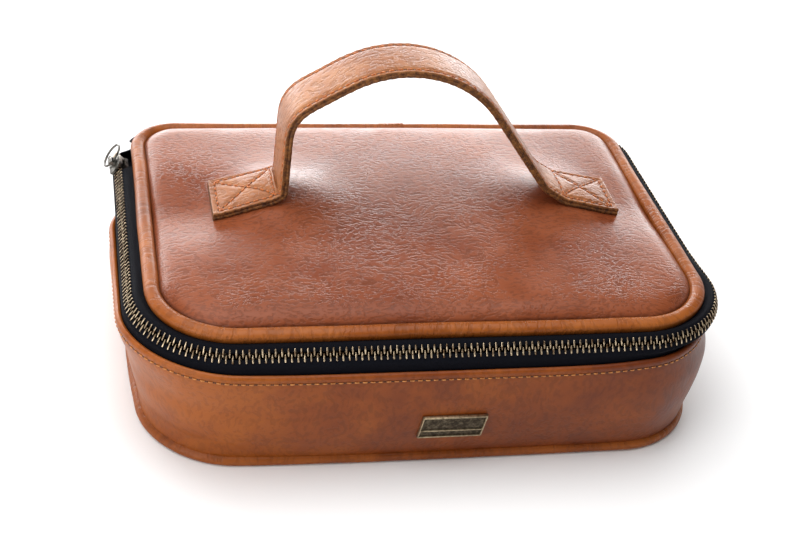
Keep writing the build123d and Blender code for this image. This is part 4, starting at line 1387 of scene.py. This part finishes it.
under_strap = new_piece(
    "strap_under_layer", strap_layer("strap_under_layer", 0.0, LAYER, -1), "lid",
    "tan_leather", STRAP_LEATHER, CUT_EDGE)
over_strap = new_piece(
    "strap_over_layer", strap_layer("strap_over_layer", LAYER + 0.05 * MM, 2 * LAYER, 1), "lid",
    "tan_leather", STRAP_LEATHER, CUT_EDGE)
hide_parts("handle_lining_strap")
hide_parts("handle_top_strap")
print("strap:", len(under_strap.data.polygons) + len(over_strap.data.polygons), "faces")

# %% [markdown]
# Thick thread holds the strap. Every run is divided into whole stitches. The two long rows show on
# both faces, while the boxes and crosses show only on top, since their other side is on the lid.

# %% Stitches of the strap
STRAP_THREAD_R = 0.32 * MM


def run_of_stitches(run, face):
    """Stitches along one run, on the strap's top where face is 1 and underneath where it is -1."""
    (s0, t0), (s1, t1) = run
    count = max(1, round(hypot(s1 - s0, t1 - t0) / SEW_PITCH))
    stitches = []
    for number in range(count):
        ends = []
        for share in (number / count, (number + SEW_LENGTH / SEW_PITCH) / count):
            s, t = s0 + (s1 - s0) * share, t0 + (t1 - t0) * share
            n = 2 * LAYER + raised(s, t) if face > 0 else -raised(s, t)
            ends.append((strap_point(s, t, n), strap_point(s, t, n + face * MM)))
        stitches.append((ends[0][0], ends[1][0], (ends[0][1] - ends[0][0]).normalized()))
    return stitches


strap_sewing = [stitch for run in SEWN_RUNS for stitch in run_of_stitches(run, 1)]
strap_sewing += [stitch for run in SEWN_RUNS[:2] for stitch in run_of_stitches(run, -1)]
new_piece("strap_stitches", stitches_mesh("strap_stitches", strap_sewing, STRAP_THREAD_R), "lid",
          "tan_leather", STRAP_THREAD, NEEDLE_HOLE_SHADE)
print("strap stitches:", len(strap_sewing))

# %% [markdown]
# ## Leather hinge
# Along the back the tape gives way to a strip of leather, sewn under the piping and down inside the
# wall. It is the whole hinge: opening the lid bends it. One strip is made, as it lies with the lid
# shut.

# %% Hinge strip
HINGE_LEATHER = 1.2 * MM
hinge_line = rounded([SEAM, SHOULDER, INTO_WALL, TAPE_END], [TAPE_BEND_R, TAPE_BEND_R], 0.6 * MM)
hinge_mesh = swept("hinge_strip",
                   lambda along: strip_section(hinge_line, TAPE / 2 - HINGE_LEATHER, TAPE / 2),
                   -BACK_X, BACK_X, 1.5 * MM, across_closed=True)
hinge_strip = bpy.data.objects.new("hinge_strip", hinge_mesh)
bpy.context.scene.collection.objects.link(hinge_strip)
hinge_mesh.materials.append(PIPING_LEATHER)
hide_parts("hinge_leather_lower", "hinge_leather_upper")
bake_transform(hinge_strip)
print("hinge strip:", len(hinge_mesh.polygons), "faces")

# %% [markdown]
# ## Name plate
# The plate is a stamped bronze: a sunk, blackened field inside a rubbed rim, with one crossbar low
# down. It is bare of lettering. Its outline leans a little to the right, and it lies along the
# slope of the wall. The sides slope as they would have to, to come out of the die.

# %% Where the plate lies
plate_low, plate_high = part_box("badge_plate")
PLATE_SHEAR = 1.0 * MM
PLATE_HALF_W = (plate_high[0] - plate_low[0] - PLATE_SHEAR) / 2
PLATE_HALF_H = 6.1 * MM
PLATE_X = (plate_low[0] + plate_high[0]) / 2
PLATE_Z = 22.6 * MM
PLATE_ALONG = ROUND - sum(leg_lengths()[-4:]) - FRONT_X + PLATE_X
near_plate = sorted((wall_out(PLATE_ALONG, z * MM), z * MM) for z in (16, 29))
plate_lean = atan2(near_plate[1][0] - near_plate[0][0], near_plate[1][1] - near_plate[0][1])
plate_up = Vector((0, -sin(plate_lean), cos(plate_lean)))
plate_out = Vector((0, -cos(plate_lean), -sin(plate_lean)))
plate_back = HALF_DEPTH + max(
    wall_out(PLATE_ALONG, z * MM) - (z * MM - PLATE_Z) * tan(plate_lean)
    for z in (17, 20, 23, 26, 28))


def plate_point(across, up, rise):
    """Point of the plate, leaning to the right as it goes up."""
    lean = PLATE_SHEAR * up / (2 * PLATE_HALF_H)
    return (Vector((PLATE_X + across + lean, -plate_back, PLATE_Z))
            + plate_up * up + plate_out * rise)


print("plate leans", round(degrees(plate_lean), 1), "degrees")

# %% [markdown]
# Field, rim and crossbar are blocks with sloping sides. Their edges are bevelled, since a struck
# edge is never sharp and the small round catches the light.

# %% Bare name plate
RIM_W, BAR_HALF = 0.75 * MM, 0.35 * MM
BAR_UP = -2.0 * MM
PLATE_FOOT, FIELD_TOP, RIM_TOP = 0.02 * MM, 1.0 * MM, 1.5 * MM
RIM_SLOPE = 0.1 * MM
FIELD_IN = 0.3 * MM


def plate_block(shape, left, right, bottom, top, low, high, slope=0.0):
    """Add a block with sloping sides to the plate."""
    rings = []
    for rise, inset in ((low, 0.0), (high, slope)):
        corners = ((left + inset, bottom + inset), (right - inset, bottom + inset),
                   (right - inset, top - inset), (left + inset, top - inset))
        rings.append([shape.verts.new(plate_point(a, u, rise)) for a, u in corners])
    shape.faces.new(rings[0][::-1])
    shape.faces.new(rings[1])
    for k in range(4):
        m = (k + 1) % 4
        shape.faces.new((rings[0][k], rings[0][m], rings[1][m], rings[1][k]))


def plate_part(name, blocks, bevel, material):
    shape = bmesh.new()
    for block in blocks:
        plate_block(shape, *block)
    bmesh.ops.bevel(shape, geom=shape.edges[:], offset=bevel, segments=2, affect="EDGES",
                    profile=0.5)
    mesh = bpy.data.meshes.new(name)
    shape.to_mesh(mesh)
    shape.free()
    return new_piece(name, smoothed(mesh), "base", "antique_brass", material)


W, H = PLATE_HALF_W, PLATE_HALF_H
field = plate_part("plate_field", [(-W + FIELD_IN, W - FIELD_IN, -H + FIELD_IN, H - FIELD_IN,
                                    PLATE_FOOT, FIELD_TOP)], 0.08 * MM, PLATE_FIELD)
rim_blocks = [(*sides, PLATE_FOOT, RIM_TOP, RIM_SLOPE) for sides in (
    (-W, W, H - RIM_W, H), (-W, W, -H, -H + RIM_W), (-W, -W + RIM_W, -H, H),
    (W - RIM_W, W, -H, H))]
rim_blocks.append((-W, W, BAR_UP - BAR_HALF, BAR_UP + BAR_HALF, 0.5 * MM, RIM_TOP, RIM_SLOPE))
plate_rim = plate_part("plate_rim", rim_blocks, 0.12 * MM, PLATE_RIM)
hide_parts("badge_plate")
print("plate:", len(field.data.polygons) + len(plate_rim.data.polygons), "faces")

# %% [markdown]
# ## Slider, ring and stops
# The slider and the end stops keep their working shapes, which already fit the teeth; a small bevel
# takes the saw-cut look off their edges. The ring is drawn anew as smooth round wire.

# %% Zip furniture
TUMBLED = 0.14 * MM
WIRE_R, RING_R = 0.5 * MM, 5.5 * MM
RING_STEPS = 72
for node, stuff in (("zip_slider", STEEL_WIRE), ("zip_end_stops", ZIP_BRASS)):
    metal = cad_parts[node]
    metal.data.materials.clear()
    metal.data.materials.append(stuff)
    soft = metal.modifiers.new("tumbled edges", "BEVEL")
    soft.width, soft.segments, soft.limit_method = TUMBLED, 2, "ANGLE"

ring_low, ring_high = (Vector(corner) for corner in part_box("pull_ring"))
ring_middle = (ring_low + ring_high) / 2
ring_along = Vector((0, 1, 0))
ring_normal = Vector((-sin(ZIP_TILT), 0, cos(ZIP_TILT)))
ring_side = ring_normal.cross(ring_along)
wire_rows = []
for k in range(RING_STEPS):
    turned = 2 * pi * k / RING_STEPS
    spoke = ring_along * cos(turned) + ring_side * sin(turned)
    wire_rows.append([ring_middle + spoke * (RING_R + d) + ring_normal * n
                      for d, n in round_section((0, 0), WIRE_R, 12)])
wire_ring = new_piece("wire_pull_ring", grid_mesh("wire_pull_ring", wire_rows, True, True), "ring",
                      "antique_brass", STEEL_WIRE)
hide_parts("pull_ring")
print("ring is", round(2 * (RING_R + WIRE_R) / MM, 1), "mm across")

# %% [markdown]
# ## Inside
# The tray is lined with suede cloth over the wall's board. The lining is one swept strip with slow
# ripples, because cloth glued by hand never lies quite flat.

# %% Tray lining
LINING, LINING_IN = 1.0 * MM, 3.9 * MM
lining_low, lining_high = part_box("wall_lining")
LINING_OUT = RIM_OUT - LINING_IN
lining_line = rounded(
    [(LINING_OUT - 6.2 * MM, lining_low[2]), (LINING_OUT - 0.6 * MM, BULGE_Z),
     (LINING_OUT, 36 * MM), (LINING_OUT, lining_high[2])], [60 * MM, 40 * MM], 1.2 * MM)


def lining_section(along):
    ripple = 0.12 * MM * slow_wave(along, 5.2, 21)
    return [(d + ripple, z) for d, z in strip_section(lining_line, 0, LINING)]


lining_mesh = swept("tray_lining", lining_section, 0, ROUND, 2.5 * MM, across_closed=True)
tray_lining = new_piece("tray_lining", lining_mesh, "base", "lining", SUEDE)
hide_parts("wall_lining")
print("tray lining:", len(lining_mesh.polygons), "faces")

# %% [markdown]
# The tray's floor and the lining of the lid are boards wrapped in cloth: slabs with the case's plan
# and soft edges. The rows of points stop 12 mm in from the edge, short of the corners' radius, so
# they never cross, and one flat face closes the middle.

# %% Padded floor
SLAB_RUNS = (2 * MM, 5 * MM, 8 * MM, 12 * MM)


def plan_slab(name, outset, low, high, soft, dome):
    """Closed slab with the case's plan, soft edges and a slightly domed top."""
    edge = [(0.6 * soft, low), (0.15 * soft, low + 0.15 * soft), (0, low + 0.5 * soft),
            (0, high - soft)]
    edge += [(soft * (1 - cos(a)), high - soft * (1 - sin(a))) for a in (0.4, 0.8, 1.2, pi / 2)]
    edge += [(soft + run, high + dome * eased(run / SLAB_RUNS[-1])) for run in SLAB_RUNS]
    rows = []
    for along in stops(0, ROUND, 3 * MM)[:-1]:
        point, out = stand(along)
        rows.append([point + out * (outset - inset) + Vector((0, 0, z)) for inset, z in edge])
    mesh = grid_mesh(name, rows, along_closed=True)
    reworked(mesh, foot_and_top(len(edge)))
    return mesh


floor_low, floor_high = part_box("floor_pad")
floor_cloth = plan_slab("padded_floor", floor_high[0] - HALF_WIDTH, floor_low[2],
                        floor_high[2] - 0.2 * MM, 1.1 * MM, 0.2 * MM)
padded_floor = new_piece("padded_floor", floor_cloth, "base", "lining", SUEDE)
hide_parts("floor_pad")
print("floor:", len(floor_cloth.polygons), "faces")

# %% [markdown]
# The dividers are boards wrapped in the same cloth. Nothing here is sharp: cloth over board always
# has a soft edge, so each block is bevelled, and its faces swell a little between small ripples.

# %% Dividers wrapped in suede
DIVIDER_SOFT = 1.2 * MM
SUBDIVIDE_OVER = 8 * MM
RIPPLE, DRAWN_FLAT = 0.18 * MM, 0.1 * MM


def wrapped_board(node, soft):
    """A board wrapped in cloth: the node's own size with round edges and rippled faces."""
    low, high = (Vector(corner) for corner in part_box(node))
    shape = soft_block(low, high, soft, 3)
    long_edges = [e for e in shape.edges if e.calc_length() > SUBDIVIDE_OVER]
    bmesh.ops.subdivide_edges(shape, edges=long_edges, cuts=12, use_grid_fill=True)
    thin = 0 if high.x - low.x < high.y - low.y else 1
    middle = (low[thin] + high[thin]) / 2
    for vert in shape.verts:
        way = 1 if vert.co[thin] > middle else -1
        vert.co[thin] += way * (noise.noise(vert.co * 90) * RIPPLE - DRAWN_FLAT)
    mesh = bpy.data.meshes.new(node + "_suede")
    shape.to_mesh(mesh)
    shape.free()
    board = new_piece(node + "_suede", smoothed(mesh), "base", "lining", SUEDE)
    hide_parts(node)
    return board


for node in ("long_divider", "back_divider_left", "back_divider_right", "front_divider_left",
             "front_divider_right"):
    wrapped_board(node, DIVIDER_SOFT)
print("dividers wrapped: 5")

# %% [markdown]
# Four foam rolls wrapped in the cloth fill one compartment, and rings stand in the slots between
# them. Each is a D-shaped section that closes softly at both ends.

# %% Ring rolls
rolls_low, rolls_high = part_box("ring_rolls")
ROLL_COUNT = 4
ROLL_GAP = 1.4 * MM
ROLL_WIDTH = (rolls_high[1] - rolls_low[1] - (ROLL_COUNT - 1) * ROLL_GAP) / ROLL_COUNT
ROLL_END = 3.0 * MM


def roll_rows(y):
    """Rows of points along one roll."""
    half, foot, top = ROLL_WIDTH / 2, rolls_low[2], rolls_high[2]
    side = [(-half * 0.9, foot), (-half, foot + 1.5 * MM), (-half, foot + 6 * MM),
            (-half, top - half)]
    outline = side + [(-half * cos(a), top - half + half * sin(a))
                      for a in stops(0.15, pi - 0.15, 0.2)]
    outline += [(-d, z) for d, z in side[::-1]]
    middle = (foot + top) / 2
    rows = []
    for x in stops(rolls_low[0], rolls_high[0], 2.0 * MM):
        near = min(x - rolls_low[0], rolls_high[0] - x)
        shrink = 0.35 if near < 1e-6 else 1 - 0.45 * (1 - min(1.0, near / ROLL_END)) ** 2
        row = []
        for d, z in outline:
            ripple = 0.25 * MM * noise.noise(Vector((x * 60, y * 60, d * 60))) * (z > foot + MM)
            row.append(Vector((x, y + d * shrink, middle + (z - middle) * shrink + ripple)))
        rows.append(row)
    return rows


def fill_ends(shape):
    bmesh.ops.holes_fill(shape, edges=[e for e in shape.edges if e.is_boundary])


for number in range(ROLL_COUNT):
    roll_y = rolls_low[1] + ROLL_WIDTH / 2 + number * (ROLL_WIDTH + ROLL_GAP)
    roll_name = f"ring_roll_{number + 1}"
    roll_mesh = grid_mesh(roll_name, roll_rows(roll_y), across_closed=True)
    reworked(roll_mesh, fill_ends)
    roll = new_piece(roll_name, roll_mesh, "base", "foam", SUEDE)
    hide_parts("ring_rolls")
print("rolls:", ROLL_COUNT, "each", round(ROLL_WIDTH / MM, 1), "mm wide")

# %% [markdown]
# The underside of the lid has a lined board with a flat gathered pocket. The cloth is cut wider
# than the pocket and drawn in by the elastic along its mouth, so it falls in small upright gathers
# that are strongest at the elastic and fade towards the sewn edge.

# %% Lid lining and gathered pocket
under_low, under_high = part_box("lid_lining")
pocket_low, pocket_high = (Vector(corner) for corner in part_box("lid_pocket"))
bind_low, bind_high = (Vector(corner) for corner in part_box("lid_pocket_binding"))
GATHER, GATHER_DEPTH = 7.0 * MM, 0.75 * MM
lining_under = plan_slab("lid_suede_lining", under_high[0] - HALF_WIDTH,
                         under_low[2] + 0.02 * MM, under_high[2], 0.35 * MM, 0.0)
lid_suede = new_piece("lid_suede_lining", lining_under, "lid", "lining", SUEDE)
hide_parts("lid_lining")


def gathers(x, share):
    """Depth of the gathers across the pocket; share runs from the sewn edge to the elastic."""
    phase = x / GATHER + 0.35 * noise.noise(Vector((x * 60, share * 2, 0)))
    return GATHER_DEPTH * (0.25 + 0.75 * share) * sin(2 * pi * phase)


pocket_face = pocket_low.z + 1.0 * MM
pocket_deep = bind_low.y - pocket_low.y
pocket_rows = []
for x in stops(pocket_low.x + MM, pocket_high.x - MM, 0.7 * MM):
    row = []
    for y in stops(pocket_low.y + MM, bind_low.y + 0.5 * MM, 2.0 * MM):
        share = (y - pocket_low.y) / pocket_deep
        edge = eased(min(x - pocket_low.x, pocket_high.x - x, y - pocket_low.y) / (4 * MM))
        rise = (pocket_high.z - pocket_face) * (1 - edge)
        row.append(Vector((x, y, pocket_face + rise * 0.9 + gathers(x, share) * edge)))
    pocket_rows.append(row)
pocket_mesh = grid_mesh("gathered_pocket", pocket_rows)
pocket_cloth = new_piece("gathered_pocket", pocket_mesh, "lid", "lining", SUEDE)
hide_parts("lid_pocket")

# %% [markdown]
# The elastic along the pocket's mouth is a flat woven band folded over the cloth's edge. It is
# stretched while it is sewn, so it puckers when it is let go.

# %% Elastic of the pocket
PUCKER, PUCKER_SIZE = 0.18 * MM, 2.3 * MM
bind_middle = (bind_low + bind_high) / 2
bind_half = (bind_high - bind_low) / 2
bind_rows = []
for x in stops(bind_low.x, bind_high.x, 0.9 * MM):
    pucker = PUCKER * sin(2 * pi * x / PUCKER_SIZE)
    half_w, half_h = bind_half.y - abs(pucker), bind_half.z - 0.2 * MM + pucker
    bind_rows.append([Vector((x, bind_middle.y + half_w * c * (0.75 + 0.25 * abs(c)),
                              bind_middle.z + half_h * d))
                      for c, d in round_section((0, 0), 1.0, 20)])
binding_mesh = grid_mesh("pocket_elastic", bind_rows, across_closed=True)
pocket_elastic = new_piece("pocket_elastic", binding_mesh, "lid", "lining", ELASTIC)
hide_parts("lid_pocket_binding")
print("elastic:", len(binding_mesh.polygons), "faces")

# %% [markdown]
# ## Boards and bottom
# The boards of the base and the lid are hidden when the case is whole, and the bottom panel shows
# only from below. They keep their working shapes and get their own materials.

# %% Hidden boards and bottom panel
for node, stuff in (("base_bottom_panel", BOTTOM_CLOTH), ("base_board", PULP_BOARD),
                    ("lid_board", PULP_BOARD)):
    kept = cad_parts[node].data
    kept.materials.clear()
    kept.materials.append(stuff)
print("kept nodes have their materials")
